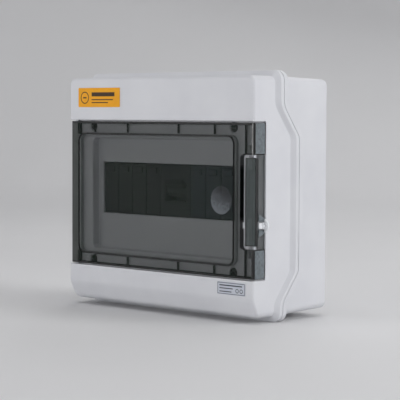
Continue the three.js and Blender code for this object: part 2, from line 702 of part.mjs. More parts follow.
function terminalMouths(centres) {
  const { halfWidth, front, back, deep } = TERMINAL;
  const half = DEVICE.height / 2;
  return centres.flatMap((x) => [
    block(x - halfWidth, x + halfWidth, front, back, RAIL.z + half - deep, RAIL.z + half + PAST),
    block(x - halfWidth, x + halfWidth, front, back, RAIL.z - half - PAST, RAIL.z - half + deep),
  ]);
}

function deviceBody(centre, poles, withNose) {
  const half = (poles * POLE - DEVICE.gap) / 2;
  const body = solid(prismX(deviceSection(withNose), centre - half, centre + half));
  return without(body, ...terminalMouths(poleCentres(centre, poles)));
}

function makeSocket(centre, poles) {
  const halfHeight = CAVITY.height / 2;
  const cavities = poleCentres(centre, poles).map((x) =>
    block(
      x - CAVITY.width / 2,
      x + CAVITY.width / 2,
      DEVICE.shoulder - PAST,
      CAVITY.end,
      RAIL.z - halfHeight,
      RAIL.z + halfHeight,
    ),
  );
  return without(deviceBody(centre, poles, false), ...cavities);
}

function plugInPart(x) {
  const noseHalf = DEVICE.noseHeight / 2;
  const half = CARRIER.width / 2;
  const tongue = CARRIER.tongue / 2;
  const tongueHalf = CARRIER.tongueHeight / 2;
  const faceEnd = DEVICE.shoulder - TOUCH_GAP;
  const gripTop = RAIL.z + noseHalf - GRIP.fromTop;
  return joined(
    block(x - half, x + half, DEVICE.nose, faceEnd, RAIL.z - noseHalf, RAIL.z + noseHalf),
    block(
      x - tongue,
      x + tongue,
      faceEnd - PAST,
      CARRIER.tongueEnd,
      RAIL.z - tongueHalf,
      RAIL.z + tongueHalf,
    ),
    block(
      x - GRIP.width / 2,
      x + GRIP.width / 2,
      DEVICE.nose - GRIP.proud,
      DEVICE.nose + PAST,
      gripTop - GRIP.height,
      gripTop,
    ),
  );
}

function makeCarrier(x) {
  const half = FUSE.channel / 2;
  const halfLength = FUSE.channelLength / 2;
  const channel = block(
    x - half,
    x + half,
    FUSE.channelFront,
    CARRIER.tongueEnd + PAST,
    RAIL.z - halfLength,
    RAIL.z + halfLength,
  );
  return without(plugInPart(x), channel);
}

function makeBreaker() {
  const half = TOGGLE.width / 2 + TOGGLE_SLOT.sideGap;
  const slot = block(
    BREAKER_X - half,
    BREAKER_X + half,
    DEVICE.nose - PAST,
    TOGGLE_SLOT.end,
    RAIL.z - TOGGLE_SLOT.halfHeight,
    RAIL.z + TOGGLE_SLOT.halfHeight,
  );
  return without(deviceBody(BREAKER_X, 2, true), slot);
}

function makeToggle() {
  const half = TOGGLE.width / 2;
  const paddle = new THREE.BoxGeometry(PADDLE.width, PADDLE.reach, PADDLE.thick);
  paddle.translate(0, -PADDLE.reach / 2, 0);
  paddle.rotateX(-degrees(TOGGLE.restAngle));
  paddle.translate(BREAKER_X, yAt(TOGGLE.depth), RAIL.z);
  return joined(rodX(TOGGLE.depth, RAIL.z, TOGGLE.barrel, BREAKER_X - half, BREAKER_X + half), paddle);
}

// ---- busbars, wires and the earth bar ----
function makeComb(centres) {
  const base = RAIL.z + DEVICE.height / 2 + COMB.clear;
  const half = COMB.prong / 2;
  const left = Math.min(...centres) - half;
  const right = Math.max(...centres) + half;
  const front = COMB.depth - COMB.thick / 2;
  const back = front + COMB.thick;
  const prongs = centres.map((x) =>
    block(x - half, x + half, front, back, base - COMB.prongLength, base + PAST),
  );
  return joined(block(left, right, front, back, base, base + COMB.height), ...prongs);
}

function wire(points) {
  const route = points.map(([x, depth, z]) => new THREE.Vector3(x, yAt(depth), z));
  const extrudePath = new THREE.CatmullRomCurve3(route, false, 'centripetal');
  const angles = Array.from({ length: WIRE.sides }, (_, i) => (2 * Math.PI * i) / WIRE.sides);
  const { radius } = WIRE;
  const ring = polygon(angles.map((angle) => [radius * Math.cos(angle), radius * Math.sin(angle)]));
  const steps = WIRE.steps * (points.length - 1);
  return solid(new THREE.ExtrudeGeometry(ring, { steps, bevelEnabled: false, extrudePath }));
}

// A bridge between two terminals on the same side, rising to a level and running across at a depth.
function bridgeWire(fromX, toX, side, startZ, level, depth) {
  const end = RAIL.z + side * (DEVICE.height / 2 - WIRE.entry);
  const lean = Math.sign(toX - fromX) * WIRE.lean;
  return wire([
    [fromX, WIRE.terminalDepth, startZ],
    [fromX, WIRE.terminalDepth, startZ + side * WIRE.lean],
    [fromX + lean, depth, level],
    [(fromX + toX) / 2, depth, level],
    [toX - lean, depth, level],
    [toX, WIRE.terminalDepth, end + side * WIRE.drop],
    [toX, WIRE.terminalDepth, end],
  ]);
}

function makeEarthBar() {
  const { x, z, width, height, front, back, wireHole, wireDepth } = EARTH;
  const bar = solid(block(x - width / 2, x + width / 2, front, back, z - height / 2, z + height / 2));
  return without(
    bar,
    ...EARTH_SCREW_X.map((sx) => rodY(sx, z, EARTH_SCREW.bore, front - PAST, wireDepth, PIN_SIDES)),
    ...EARTH_SCREW_X.map((sx) => rodZ(sx, wireDepth, wireHole, z - height, z + height, PIN_SIDES)),
  );
}

function makeEarthStand() {
  const { x, z, width, back } = EARTH;
  const { strapBack, strapHalf, footWidth, footHalf } = EARTH_STAND;
  const end = DEPTH - WALL - TOUCH_GAP;
  const [left, right] = [x - width / 2, x + width / 2];
  return joined(
    block(left, right, back + TOUCH_GAP, strapBack, z - strapHalf, z + strapHalf),
    block(left, left + footWidth, strapBack - PAST, end, z - footHalf, z + footHalf),
    block(right - footWidth, right, strapBack - PAST, end, z - footHalf, z + footHalf),
  );
}

function makeLabel({ x, z, width, height }) {
  const outline = roundedRect(width, height, LABEL.corner, x, z);
  return prismY(outline, LABEL.back - LABEL.thickness, LABEL.back, 0, 3);
}

// ---- assembly ----
const { base, wallHoles } = makeBase();
add('base_shell', base, SHELL_GREY);
add('front_cover', makeCover(), SHELL_GREY);
add('parting_gasket', makeGasket(), SEAL_BLACK);
add('door', makeDoor(), SMOKED);
add('door_gasket', makeDoorGasket(), SEAL_BLACK);

const doorTop = BAY.top - DOOR.gap;
const doorBottom = BAY.bottom + DOOR.gap;
const pinReach = HINGE_BOSS.length - 2 * PAST;
const hingePin = (low, high) => rodZ(HINGE.x, HINGE.depth, HINGE.pin, low, high);
add('hinge_pin_upper', hingePin(doorTop - pinReach, BAY.top + HINGE_BOSS.pinEnd), ZINC);
add('hinge_pin_lower', hingePin(BAY.bottom - HINGE_BOSS.pinEnd, doorBottom + pinReach), ZINC);

add('latch_lever', makeLever(), SMOKED);
const pinBottom = SLOT.bottom - LATCH_PIN.reach;
const pinTop = SLOT.top + LATCH_PIN.reach;
const latchPin = rodZ(LEVER_AXIS.x, LEVER_AXIS.depth, LATCH_PIN.radius, pinBottom, pinTop, PIN_SIDES);
add('latch_pin', latchPin, ZINC);
add('seal_lug', makeSealLug(), LUG_WHITE);

const coverScrewSize = { ...COVER_SCREW, ...COVER_SCREW_SHANK };
screwPlaces().forEach(([x, z], i) => {
  add(`cover_screw_${i + 1}`, slottedScrew(x, z, COVER_SCREW.seat, coverScrewSize), BLACKENED);
});
wallHoles.forEach(([x, z], i) => {
  const radius = WALL_HOLE.counterbore - PLUG_GAP;
  const plug = rodY(x, z, radius, WALL_HOLE.bossFront + TOUCH_GAP, WALL_HOLE.seat - TOUCH_GAP);
  add(`wall_plug_${i + 1}`, plug, SHELL_GREY);
});

add('din_rail', makeRail(), ZINC);
['left', 'right'].forEach((side, i) => {
  const x = (i ? 1 : -1) * RAIL_SCREW.x;
  add(`rail_screw_${side}`, screw(x, RAIL.z, RAIL.web - RAIL.sheet, RAIL_SCREW), ZINC);
});

FUSE_X.forEach((x, i) => {
  add(`fuse_holder_${i + 1}`, makeSocket(x, 1), DEVICE_DARK);
  add(`fuse_carrier_${i + 1}`, makeCarrier(x), CARRIER_DARK);
  const halfLink = FUSE.length / 2;
  const link = rodZ(x, FUSE.depth, FUSE.radius, RAIL.z - halfLink, RAIL.z + halfLink);
  add(`fuse_link_${i + 1}`, link, CERAMIC);
});
add('breaker_body', makeBreaker(), DEVICE_DARK);
add('breaker_toggle', makeToggle(), CARRIER_DARK);
add('surge_base', makeSocket(SURGE_X, 3), DEVICE_DARK);
poleCentres(SURGE_X, 3).forEach((x, i) => {
  add(`surge_module_${i + 1}`, plugInPart(x), SURGE_SLATE);
});

const [plusPole, minusPole] = poleCentres(BREAKER_X, 2);
const surgePoles = poleCentres(SURGE_X, 3);
const combTop = RAIL.z + DEVICE.height / 2 + COMB.clear + COMB.height + TOUCH_GAP;
const lowerMouth = RAIL.z - DEVICE.height / 2 + WIRE.entry;
add('positive_comb', makeComb(FUSE_X.slice(0, 2)), COPPER);
add('negative_comb', makeComb(FUSE_X.slice(2)), COPPER);
const [plusComb, minusComb] = [(FUSE_X[0] + FUSE_X[1]) / 2, (FUSE_X[2] + FUSE_X[3]) / 2];
add('positive_feed_wire', bridgeWire(plusComb, plusPole, 1, combTop, 72, 46), WIRE_RED);
add('negative_feed_wire', bridgeWire(minusComb, minusPole, 1, combTop, 62, 60), WIRE_BLACK);
add('surge_positive_wire', bridgeWire(plusPole, surgePoles[0], -1, lowerMouth, -56, 42), WIRE_RED);
add('surge_negative_wire', bridgeWire(minusPole, surgePoles[2], -1, lowerMouth, -66, 58), WIRE_BLACK);
const earthEntry = EARTH.x + EARTH.width / 2 + TOUCH_GAP;
add(
  'surge_earth_wire',
  wire([
    [surgePoles[1], WIRE.terminalDepth, lowerMouth],
    [surgePoles[1], WIRE.terminalDepth, lowerMouth - 10],
    [surgePoles[1], 44, -60],
    [surgePoles[1] - 2, 48, -76],
    [35, 66, -84],
    [10, 74, -76],
    [earthEntry, 74, -74],
  ]),
  WIRE_EARTH,
);
add('earth_bar', makeEarthBar(), BRASS);
add('earth_bar_stand', makeEarthStand(), DEVICE_DARK);
EARTH_SCREW_X.forEach((x, i) => {
  add(`earth_screw_${i + 1}`, slottedScrew(x, EARTH.z, EARTH.front, EARTH_SCREW), ZINC);
});

add('amber_label', makeLabel(AMBER_LABEL), AMBER);
add('rating_label', makeLabel(RATING_LABEL), SILVER_FILM);

export default assembly;
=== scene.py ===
import json
import math
from contextlib import contextmanager

import bmesh
import bpy
from mathutils import Matrix, Vector


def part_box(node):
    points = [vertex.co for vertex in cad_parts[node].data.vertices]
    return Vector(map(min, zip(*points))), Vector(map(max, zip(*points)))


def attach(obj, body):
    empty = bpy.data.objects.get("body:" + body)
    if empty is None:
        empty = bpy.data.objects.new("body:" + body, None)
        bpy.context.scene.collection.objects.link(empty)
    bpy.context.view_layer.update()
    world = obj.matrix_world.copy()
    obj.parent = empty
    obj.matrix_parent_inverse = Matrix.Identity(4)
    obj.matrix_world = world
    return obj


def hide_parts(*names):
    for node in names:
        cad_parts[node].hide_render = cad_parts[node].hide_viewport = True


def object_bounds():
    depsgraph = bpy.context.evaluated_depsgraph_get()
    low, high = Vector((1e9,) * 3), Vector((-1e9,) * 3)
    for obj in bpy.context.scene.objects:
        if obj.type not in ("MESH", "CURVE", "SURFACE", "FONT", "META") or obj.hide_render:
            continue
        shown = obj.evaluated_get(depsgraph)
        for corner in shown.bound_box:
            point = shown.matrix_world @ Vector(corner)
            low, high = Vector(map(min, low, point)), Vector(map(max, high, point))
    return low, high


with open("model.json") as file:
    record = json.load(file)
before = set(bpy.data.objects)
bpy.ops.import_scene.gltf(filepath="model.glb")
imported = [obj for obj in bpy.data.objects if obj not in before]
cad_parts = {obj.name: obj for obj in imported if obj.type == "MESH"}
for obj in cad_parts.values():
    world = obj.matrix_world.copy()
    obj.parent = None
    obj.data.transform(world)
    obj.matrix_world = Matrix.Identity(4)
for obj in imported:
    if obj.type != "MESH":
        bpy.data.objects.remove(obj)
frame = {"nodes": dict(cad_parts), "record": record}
cad_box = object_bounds()

# ---- driving dimensions, in millimetres ----
MM = 0.001
FRONT_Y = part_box("front_cover")[0].y
DEPTH = -FRONT_Y / MM

BODY = dict(width=225.8, height=200.4, corner=6.0)
FLANGE = dict(width=233.0, height=210.0, corner=9.0)
BASE_BACK = dict(width=222.2, height=196.8, fillet=2.5)
WALL = 2.8
FRONT_FILLET = 2.5
ARC_STEPS = 10
LEVEL_STEP = 2.2
LEVEL_REACH = 94.0
WELD = 0.00001
LEVEL_WITHIN = 1e-6

SEAM_SHALLOW = 33.6
SEAM_DEEP = 53.4
SEAM_GAP = 0.8
LIP_GAP = 0.22
SEAM_KNEES = ((75.4, 5.5), (49.5, 2.6), (-63.1, 2.2), (-88.5, 5.0))
BEAD_START = 8.0
SIDE_START = 18.0
RIM_BACK = 4.9

CHAMFER_KNEES = ((-84.7, 1.6, 0.433), (-97.0, 2.2, 0.5))

BAY = dict(bottom=-68.4, top=62.7, depth=5.0, plate=2.5, side_x=110.0, side_depth=15.2)
RECESS = dict(left=-87.0, right=87.0, bottom=-52.6, top=47.0, depth=12.7, wall=2.3, corner=4.0)
CUTOUT = dict(left=-81.5, right=81.5, bottom=-21.0, top=25.0)
POCKET = dict(left=98.7, right=107.6, bottom=-19.4, top=26.0, depth=13.5, wall=2.3)
RELIEF = dict(left=103.2, bottom=-50.5, top=43.0, depth=9.2, wall=2.2)
HINGE = dict(x=-107.4, depth=5.4, knuckle=5.4, trough=6.0, wall=2.2, bore=2.15, housing=4.6)
COVER_SCREWS = [(x, z) for x in (-86.0, 86.0) for z in (57.5, -63.4)]
WALL_HOLES = [(x, z) for x in (-93.0, 93.0) for z in (-80.0, 80.0)]
RAIL_POSTS = [(x, 2.0) for x in (-78.0, 78.0)]
SCREW_BOSS = dict(radius=6.0, back=38.4, head=4.9, seat=4.3, seat_depth=9.0, shank=2.3)
PILLAR = dict(radius=5.0, front=39.4, bore=2.05, bore_end=58.0)
RAIL_POST = dict(radius=5.5, front=82.3, bore=1.85)
WALL_BOSS = dict(radius=7.0, front=85.0, hole=2.6, mouth=3.2, counterbore=5.2, counterbore_end=92.0)
KNOCKOUT_X = (-60.0, 0.0, 60.0)
KNOCKOUT_DEPTH = 68.0
KNOCKOUT_SECTION = ((11.0, 101.0), (10.5, 98.0), (9.5, 98.0), (9.0, 101.0))

DOOR = dict(half=112.8, bottom=-67.2, top=61.5, plate=2.6, corner=3.0, return_depth=14.6, return_wall=2.5)
WINDOW = dict(x=-4.9, z=-3.35, width=191.0, height=107.5, corner=7.0, seal=1.9)
DOOR_SHARP_ANGLE = 10.2
# Bands that take the near-black painted edge shade: the door's top and bottom strips, the return's rear
# border, the strips beside the slot and the lever's top and bottom
EDGE_STRIP = 1.6
RETURN_BORDER = 13.7
SLOT_BORDER = 0.9
LEVER_BORDER = 0.8
RIB_OFFSETS = (-77.2, -34.6, 28.2, 70.8)
RIB_CORNER_X = 101.3
WINDOW_LINE = dict(width=1.5, depth=0.6)
DISH = dict(x=76.8, z=-3.1, radius=11.6, depth=1.2)
SLOT = dict(left=98.0, bottom=-42.6, top=35.2, corner=3.0, depth=6.9, step=0.9)
LEVER_AXIS = dict(x=110.3, depth=4.6, radius=2.3, bore=1.25, front_angle=-74, back_angle=199)
CLAW = dict(bottom=-17.0, top=23.0, left=104.4, right=106.2, tip=107.2, depth=12.0)
# Band along the lever's left edge that takes the painted edge shade
LEVER_SIDE_BORDER = 0.7
LEVER = dict(left=103.4, front=0.25, thickness=2.2, bottom=-39.9, top=32.7)
GUSSET = dict(near=3.6, width=5.8, far_width=2.8, back=13.6)
LUG = dict(z=-23.2, height=5.2, eye_x=111.4, eye_radius=5.7, hole_x=114.1)
AMBER = dict(x=-73.3, z=82.8, width=54.4, height=17.2)
RATING = dict(x=88.8, z=-76.2, width=31.6, height=10.6)

# ---- the view and the studio, in metres and watts ----
CAMERA = dict(lens=142.14, sensor=36.0, location=(0.9730, -1.0553, 0.0690),
              forward=(-0.6916, 0.7202, -0.0548), up=(-0.0409, 0.0368, 0.9985))
LIGHTS = (
    dict(name="key_right", location=(2.05, 0.65, 0.7), size=(1.4, 1.4), power=27),
    dict(name="front_left", location=(-1.1, -2.0, 0.2), size=(1.6, 1.2), power=19),
    dict(name="overhead", location=(0.1, 0.0, 1.9), size=(1.6, 1.6), power=15),
    dict(name="front_low", location=(0.5, -1.7, 0.02), size=(1.4, 0.2), power=5, aim=(0, 0, -0.02)),
    dict(name="back", location=(-0.9, 1.7, 1.1), size=(1.4, 1.2), power=6),
)
WORLD = dict(color=(0.9, 0.92, 0.95, 1), strength=0.07)
STAGE = dict(radius=2.6, bend=1.0, wall=3.2, middle=0.6, sides=96, bend_steps=12)


def place(x, depth, z):
    return Vector((x * MM, FRONT_Y + depth * MM, z * MM))


# ---- curves shared by the shells ----
def ramp(t, radius):
    """max(0, t) with its corner rounded over radius each way."""
    if t <= -radius:
        return 0.0
    if t >= radius:
        return t
    return (t + radius) ** 2 / (4 * radius)


def seam_depth(z):
    """Depth of the parting line at a height: shallow at the top and bottom, deep along the middle."""
    (a, ra), (b, rb), (c, rc), (d, rd) = SEAM_KNEES
    step = SEAM_DEEP - SEAM_SHALLOW
    down = step / (a - b) * (ramp(a - z, ra) - ramp(b - z, rb))
    back = step / (c - d) * (ramp(c - z, rc) - ramp(d - z, rd))
    return SEAM_SHALLOW + down - back


def front_depth(z):
    """Depth of the cover's front surface, which slopes back in a soft chamfer at the bottom."""
    return sum(slope * ramp(start - z, radius) for start, radius, slope in CHAMFER_KNEES)


# ---- mesh building ----
def quarter(steps):
    """Angles from 0 to 90 degrees, in radians."""
    return [math.pi / 2 * i / steps for i in range(steps + 1)]


def fillet(radius, steps=4):
    """A quarter round's points as (inset, drop), from its front to its side."""
    return [(radius * (1 - math.sin(a)), radius * (1 - math.cos(a))) for a in quarter(steps)]


@contextmanager
def edited(mesh):
    """A mesh open for bmesh work, written back at the end."""
    work = bmesh.new()
    work.from_mesh(mesh)
    yield work
    work.to_mesh(mesh)
    work.free()


def link(obj):
    bpy.context.scene.collection.objects.link(obj)
    return obj


def new_object(name, verts, faces):
    mesh = bpy.data.meshes.new(name)
    mesh.from_pydata([place(*v) for v in verts], [], faces)
    mesh.validate()
    with edited(mesh) as work:
        bmesh.ops.recalc_face_normals(work, faces=work.faces)
    return link(bpy.data.objects.new(name, mesh))


def side_levels(half):
    count = int(2 * half / LEVEL_STEP)
    return [half - 2 * half * i / count for i in range(1, count)]


def half_outline(width, height, corner, levels=(), steps=ARC_STEPS):
    """The right half of a rounded rectangle, from the top down, as (x, z) points."""
    corner = max(corner, 0.05)
    cx, cz = width / 2 - corner, height / 2 - corner
    arc = quarter(steps)
    top = [(cx + corner * math.sin(a), cz + corner * math.cos(a)) for a in arc]
    bottom = [(cx + corner * math.cos(a), -cz - corner * math.sin(a)) for a in arc]
    return top + [(width / 2, z) for z in levels] + bottom


def ring_from_half(half, cx=0.0, cz=0.0):
    """A closed ring from its right half; point i and point n - 1 - i mirror each other."""
    right = [(cx + x, cz + z) for x, z in half]
    left = [(cx - x, cz + z) for x, z in reversed(half)]
    return right + left


def loft(name, rings):
    """A closed solid from rings of (x, depth, z) points, its two ends filled rung by rung."""
    count = len(rings[0])
    verts = [v for ring in rings for v in ring]
    faces = []
    for r in range(len(rings) - 1):
        a, b = r * count, (r + 1) * count
        faces += [(a + i, a + (i + 1) % count, b + (i + 1) % count, b + i) for i in range(count)]
    for start in (0, (len(rings) - 1) * count):
        for i in range(count // 2 - 1):
            faces.append((start + i, start + i + 1, start + count - 2 - i, start + count - 1 - i))
    return new_object(name, verts, faces)


def prism(name, outline, to_point, low, high):
    """A prism from a closed 2D outline; to_point(a, b, c) puts outline point (a, b) at level c."""
    count = len(outline)
    verts = [to_point(a, b, low) for a, b in outline] + [to_point(a, b, high) for a, b in outline]
    faces = [(i, (i + 1) % count, count + (i + 1) % count, count + i) for i in range(count)]
    faces += [tuple(range(count)), tuple(range(count, 2 * count))]
    return new_object(name, verts, faces)


def from_above(x, depth, z):
    """For an outline of (x, depth) points that runs along Z."""
    return x, depth, z


def from_front(x, z, depth):
    """For an outline of (x, z) points that runs along the depth."""
    return x, depth, z


def from_side(depth, z, x):
    """For an outline of (depth, z) points that runs along X."""
    return x, depth, z


def slab(name, left, right, front, back, bottom, top):
    outline = [(left, front), (right, front), (right, back), (left, back)]
    return prism(name, outline, from_above, bottom, top)


def tub(name, x, z, width, height, corner, rings, steps=ARC_STEPS):
    """A rounded-rectangle solid along the depth; rings hold (growth of the outline, depth)."""
    loops = []
    for grow, depth in rings:
        half = half_outline(width + 2 * grow, height + 2 * grow, corner + grow, (), steps)
        loops.append([(px, depth, pz) for px, pz in ring_from_half(half, x, z)])
    return loft(name, loops)


def round_outline(radius, sides):
    """The right half of a circle with a flat at its top and bottom, as half_outline gives it."""
    half_turn = [math.pi * (i + 0.5) / (sides / 2) for i in range(sides // 2)]
    return [(radius * math.sin(a), radius * math.cos(a)) for a in half_turn]


def tub_in(name, box, corner, rings):
    """A tub whose outline is the rectangle between a box's left, right, bottom and top."""
    return tub(name, (box["left"] + box["right"]) / 2, (box["bottom"] + box["top"]) / 2,
               box["right"] - box["left"], box["top"] - box["bottom"], corner, rings)


def turned(name, x, z, rings, sides=32, to_point=from_front):
    """A round solid along the depth; rings hold (radius, depth)."""
    loops = []
    for radius, at in rings:
        ring = ring_from_half(round_outline(radius, sides), x, z)
        loops.append([to_point(*point, at) for point in ring])
    return loft(name, loops)


def turned_upright(name, x, depth, rings, sides=32):
    """A round solid along Z; rings hold (radius, z)."""
    return turned(name, x, depth, rings, sides, from_above)


def pocket_rings(front, back, lip, floor_radius):
    """Rings for a cutter: it flares out over lip at its mouth and closes in round its floor."""
    rings = [(lip, front - 6)]
    rings += [(inset, front + drop) for inset, drop in fillet(lip)]
    rings += [(-inset, back - drop) for inset, drop in reversed(fillet(floor_radius))]
    return rings


def on_hinge_axis(name, rings, sides=32):
    return turned_upright(name, HINGE["x"], HINGE["depth"], rings, sides)


def combine(target, tools, operation):
    for tool in tools:
        step = target.modifiers.new("combine", "BOOLEAN")
        step.operation = operation
        step.solver = "EXACT"
        step.object = tool
        graph = bpy.context.evaluated_depsgraph_get()
        mesh = bpy.data.meshes.new_from_object(target.evaluated_get(graph))
        target.modifiers.clear()
        old = target.data
        target.data = mesh
        bpy.data.meshes.remove(old)
        spent = tool.data
        bpy.data.objects.remove(tool)
        bpy.data.meshes.remove(spent)
    return target


def cut(target, *tools):
    return combine(target, tools, "DIFFERENCE")


def join(target, *tools):
    return combine(target, tools, "UNION")


def bevel_edges(obj, width, segments=3, angle=32, level_only=False):
    """Rounds the edges sharper than angle, or only those of them that lie level."""
    with edited(obj.data) as work:
        edges = [e for e in work.edges if len(e.link_faces) == 2]
        edges = [e for e in edges if e.calc_face_angle(0) > math.radians(angle)]
        if level_only:
            edges = [e for e in edges if abs(e.verts[0].co.z - e.verts[1].co.z) < LEVEL_WITHIN]
        bmesh.ops.bevel(work, geom=edges, offset=width * MM, segments=segments, profile=0.5,
                        affect="EDGES", clamp_overlap=True)
    return obj


def tidy_mesh(obj, sharp_angle):
    """Welds stray points, smooths the shading between sharp edges and keeps flat faces flat."""
    with edited(obj.data) as work:
        bmesh.ops.remove_doubles(work, verts=work.verts, dist=WELD)
        bmesh.ops.dissolve_degenerate(work, edges=work.edges, dist=WELD)
    shade(obj, sharp_angle)
    weighted = obj.modifiers.new("even shading", "WEIGHTED_NORMAL")
    weighted.keep_sharp = True
    weighted.mode = "FACE_AREA"


def finish_piece(obj, body, slot, materials, replaced, sharp_angle=28.0):
    tidy_mesh(obj, sharp_angle)
    paint(obj, *materials)
    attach(obj, body)
    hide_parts(*replaced)


def paint(obj, *materials):
    obj.data.materials.clear()
    for material in materials:
        obj.data.materials.append(material)


def shade(obj, sharp_angle):
    """Smooth shading with a crisp break at edges sharper than sharp_angle."""
    obj.data.shade_smooth()
    obj.data.set_sharp_from_angle(angle=math.radians(sharp_angle))


# ---- materials ----
def srgb(red, green, blue):
    def linear(value):
        value /= 255
        return value / 12.92 if value <= 0.04045 else ((value + 0.055) / 1.055) ** 2.4
    return (linear(red), linear(green), linear(blue), 1.0)


class Shader:
    """A node material with short calls for the nodes used here."""

    def __init__(self, name):
        self.material = bpy.data.materials.new(name)
        self.material.use_nodes = True
        self.nodes = self.material.node_tree.nodes
        self.links = self.material.node_tree.links
        self.nodes.clear()
        self.output = self.nodes.new("ShaderNodeOutputMaterial")
        self.principled = self.nodes.new("ShaderNodeBsdfPrincipled")
        self.links.new(self.principled.outputs[0], self.output.inputs["Surface"])
        coords = self.nodes.new("ShaderNodeTexCoord")
        self.coords = coords.outputs["Object"]

    def feed(self, socket, value):
        if hasattr(value, "is_output"):
            self.links.new(value, socket)
        else:
            socket.default_value = value

    def noise(self, scale_mm, detail=3.0, roughness=0.55, stretch=(1, 1, 1)):
        """Noise whose features are about scale_mm across."""
        spread = self.nodes.new("ShaderNodeMapping")
        spread.inputs["Scale"].default_value = [s / (scale_mm * MM) for s in stretch]
        self.links.new(self.coords, spread.inputs["Vector"])
        noise = self.nodes.new("ShaderNodeTexNoise")
        noise.inputs["Scale"].default_value = 1.0
        noise.inputs["Detail"].default_value = detail
        noise.inputs["Roughness"].default_value = roughness
        self.links.new(spread.outputs[0], noise.inputs["Vector"])
        return noise.outputs["Fac"]

    def math(self, operation, a, b=0.0, c=0.0):
        node = self.nodes.new("ShaderNodeMath")
        node.operation = operation
        for socket, value in zip(node.inputs, (a, b, c)):
            self.feed(socket, value)
        return node.outputs[0]

    def between(self, value, low, high):
        """0 to 1 from noise, spread over low to high."""
        node = self.nodes.new("ShaderNodeMapRange")
        node.inputs["From Min"].default_value = 0.3
        node.inputs["From Max"].default_value = 0.7
        node.inputs["To Min"].default_value = low
        node.inputs["To Max"].default_value = high
        self.feed(node.inputs["Value"], value)
        return node.outputs[0]

    def mix(self, share, first, second):
        node = self.nodes.new("ShaderNodeMix")
        node.data_type = "RGBA"
        self.feed(node.inputs["Factor"], share)
        self.feed(node.inputs["A"], first)
        self.feed(node.inputs["B"], second)
        return node.outputs["Result"]

    def bump(self, height, strength, distance_mm, previous=None):
        node = self.nodes.new("ShaderNodeBump")
        node.inputs["Strength"].default_value = strength
        node.inputs["Distance"].default_value = distance_mm * MM
        self.feed(node.inputs["Height"], height)
        if previous is not None:
            self.links.new(previous, node.inputs["Normal"])
        return node.outputs[0]

    def axes(self):
        split = self.nodes.new("ShaderNodeSeparateXYZ")
        self.links.new(self.coords, split.inputs[0])
        return split.outputs

    def set(self, **values):
        for name, value in values.items():
            self.feed(self.principled.inputs[name.replace("_", " ")], value)
        return self


def moulded(name, tone, other_tone, rough, grain_mm, grain, specular=0.5):
    """Moulded plastic: faint flow variation in the colour, a fine spark texture and uneven gloss."""
    shader = Shader(name)
    flow = shader.between(shader.noise(38, 2.0), 0.0, 1.0)
    shader.set(Base_Color=shader.mix(flow, tone, other_tone))
    shader.set(Roughness=shader.between(shader.noise(9, 3.0), rough - 0.05, rough + 0.05))
    spark = shader.bump(shader.noise(grain_mm, 2.0), grain, 0.05)
    waves = shader.bump(shader.noise(26, 1.0), 0.10, 0.12, spark)
    shader.set(Normal=waves)
    shader.principled.inputs["Specular IOR Level"].default_value = specular
    return shader.material


def plated(name, tone, other_tone, rough, stretch=(1, 1, 1)):
    """Plated or drawn metal with fine streaks."""
    shader = Shader(name)
    cloud = shader.between(shader.noise(3.0, 3.0), 0.0, 1.0)
    shader.set(Base_Color=shader.mix(cloud, tone, other_tone))
    shader.set(Metallic=1.0)
    streak = shader.noise(0.5, 2.0, 0.6, stretch)
    shader.set(Roughness=shader.between(streak, rough - 0.08, rough + 0.1))
    shader.set(Normal=shader.bump(streak, 0.2, 0.02))
    return shader.material


def smoked_clear(name, tone, other_tone, alpha):
    """Clear smoked sheet with a polished, very slightly wavy face."""
    shader = Shader(name)
    flow = shader.between(shader.noise(60, 1.0), 0.0, 1.0)
    shader.set(Base_Color=shader.mix(flow, tone, other_tone))
    shader.set(Roughness=shader.between(shader.noise(14, 2.0), 0.08, 0.14))
    shader.set(Alpha=alpha)
    shader.principled.inputs["Specular IOR Level"].default_value = 0.35
    waves = shader.bump(shader.noise(45, 1.0), 0.05, 0.3)
    shader.set(Normal=waves)
    return shader.material


def smoked_frosted(name, tone, other_tone, alpha, grain_mm, grain):
    """Smoked plastic with an etched face that scatters light."""
    shader = Shader(name)
    mottle = shader.between(shader.noise(2.2, 4.0), 0.0, 1.0)
    shader.set(Base_Color=shader.mix(mottle, tone, other_tone))
    shader.set(Roughness=shader.between(shader.noise(5, 2.0), 0.42, 0.55))
    shader.set(Alpha=alpha)
    sand = shader.bump(shader.noise(grain_mm, 3.0), grain, 0.08)
    shader.set(Normal=sand)
    return shader.material


def smoked_dish_painted_shade(name):
    """The etched hollow in the door, with painted shade: darker across its top, lighter towards its lower rim
    and left side, as a hollow lit from above looks.
    """
    shader = Shader(name)
    x, _, z = shader.axes()
    # Painted shade: the colour darkens towards the hollow's top and lightens towards its lower rim and left;
    # the noise grain is the etched texture.
    down = shader.math("DIVIDE", shader.math("SUBTRACT", DISH["z"] * MM, z), DISH["radius"] * MM)
    left = shader.math("DIVIDE", shader.math("SUBTRACT", DISH["x"] * MM, x), DISH["radius"] * MM)
    painted_shade_slant = shader.math("ADD", shader.math("MULTIPLY", down, 0.5), shader.math("MULTIPLY", left, 0.22))
    grain = shader.math("MULTIPLY", shader.math("SUBTRACT", shader.noise(1.4, 4.0), 0.5), 0.9)
    share = shader.math("ADD", shader.math("ADD", painted_shade_slant, 0.36), grain)
    share = shader.math("MINIMUM", shader.math("MAXIMUM", share, 0.0), 1.0)
    shader.set(Base_Color=shader.mix(share, srgb(20, 23, 27), srgb(104, 111, 118)))
    shader.set(Roughness=shader.between(shader.noise(3, 2.0), 0.35, 0.5))
    shader.set(Alpha=0.72)
    sand = shader.bump(shader.noise(0.8, 3.0), 0.4, 0.1)
    shader.set(Normal=sand)
    return shader.material


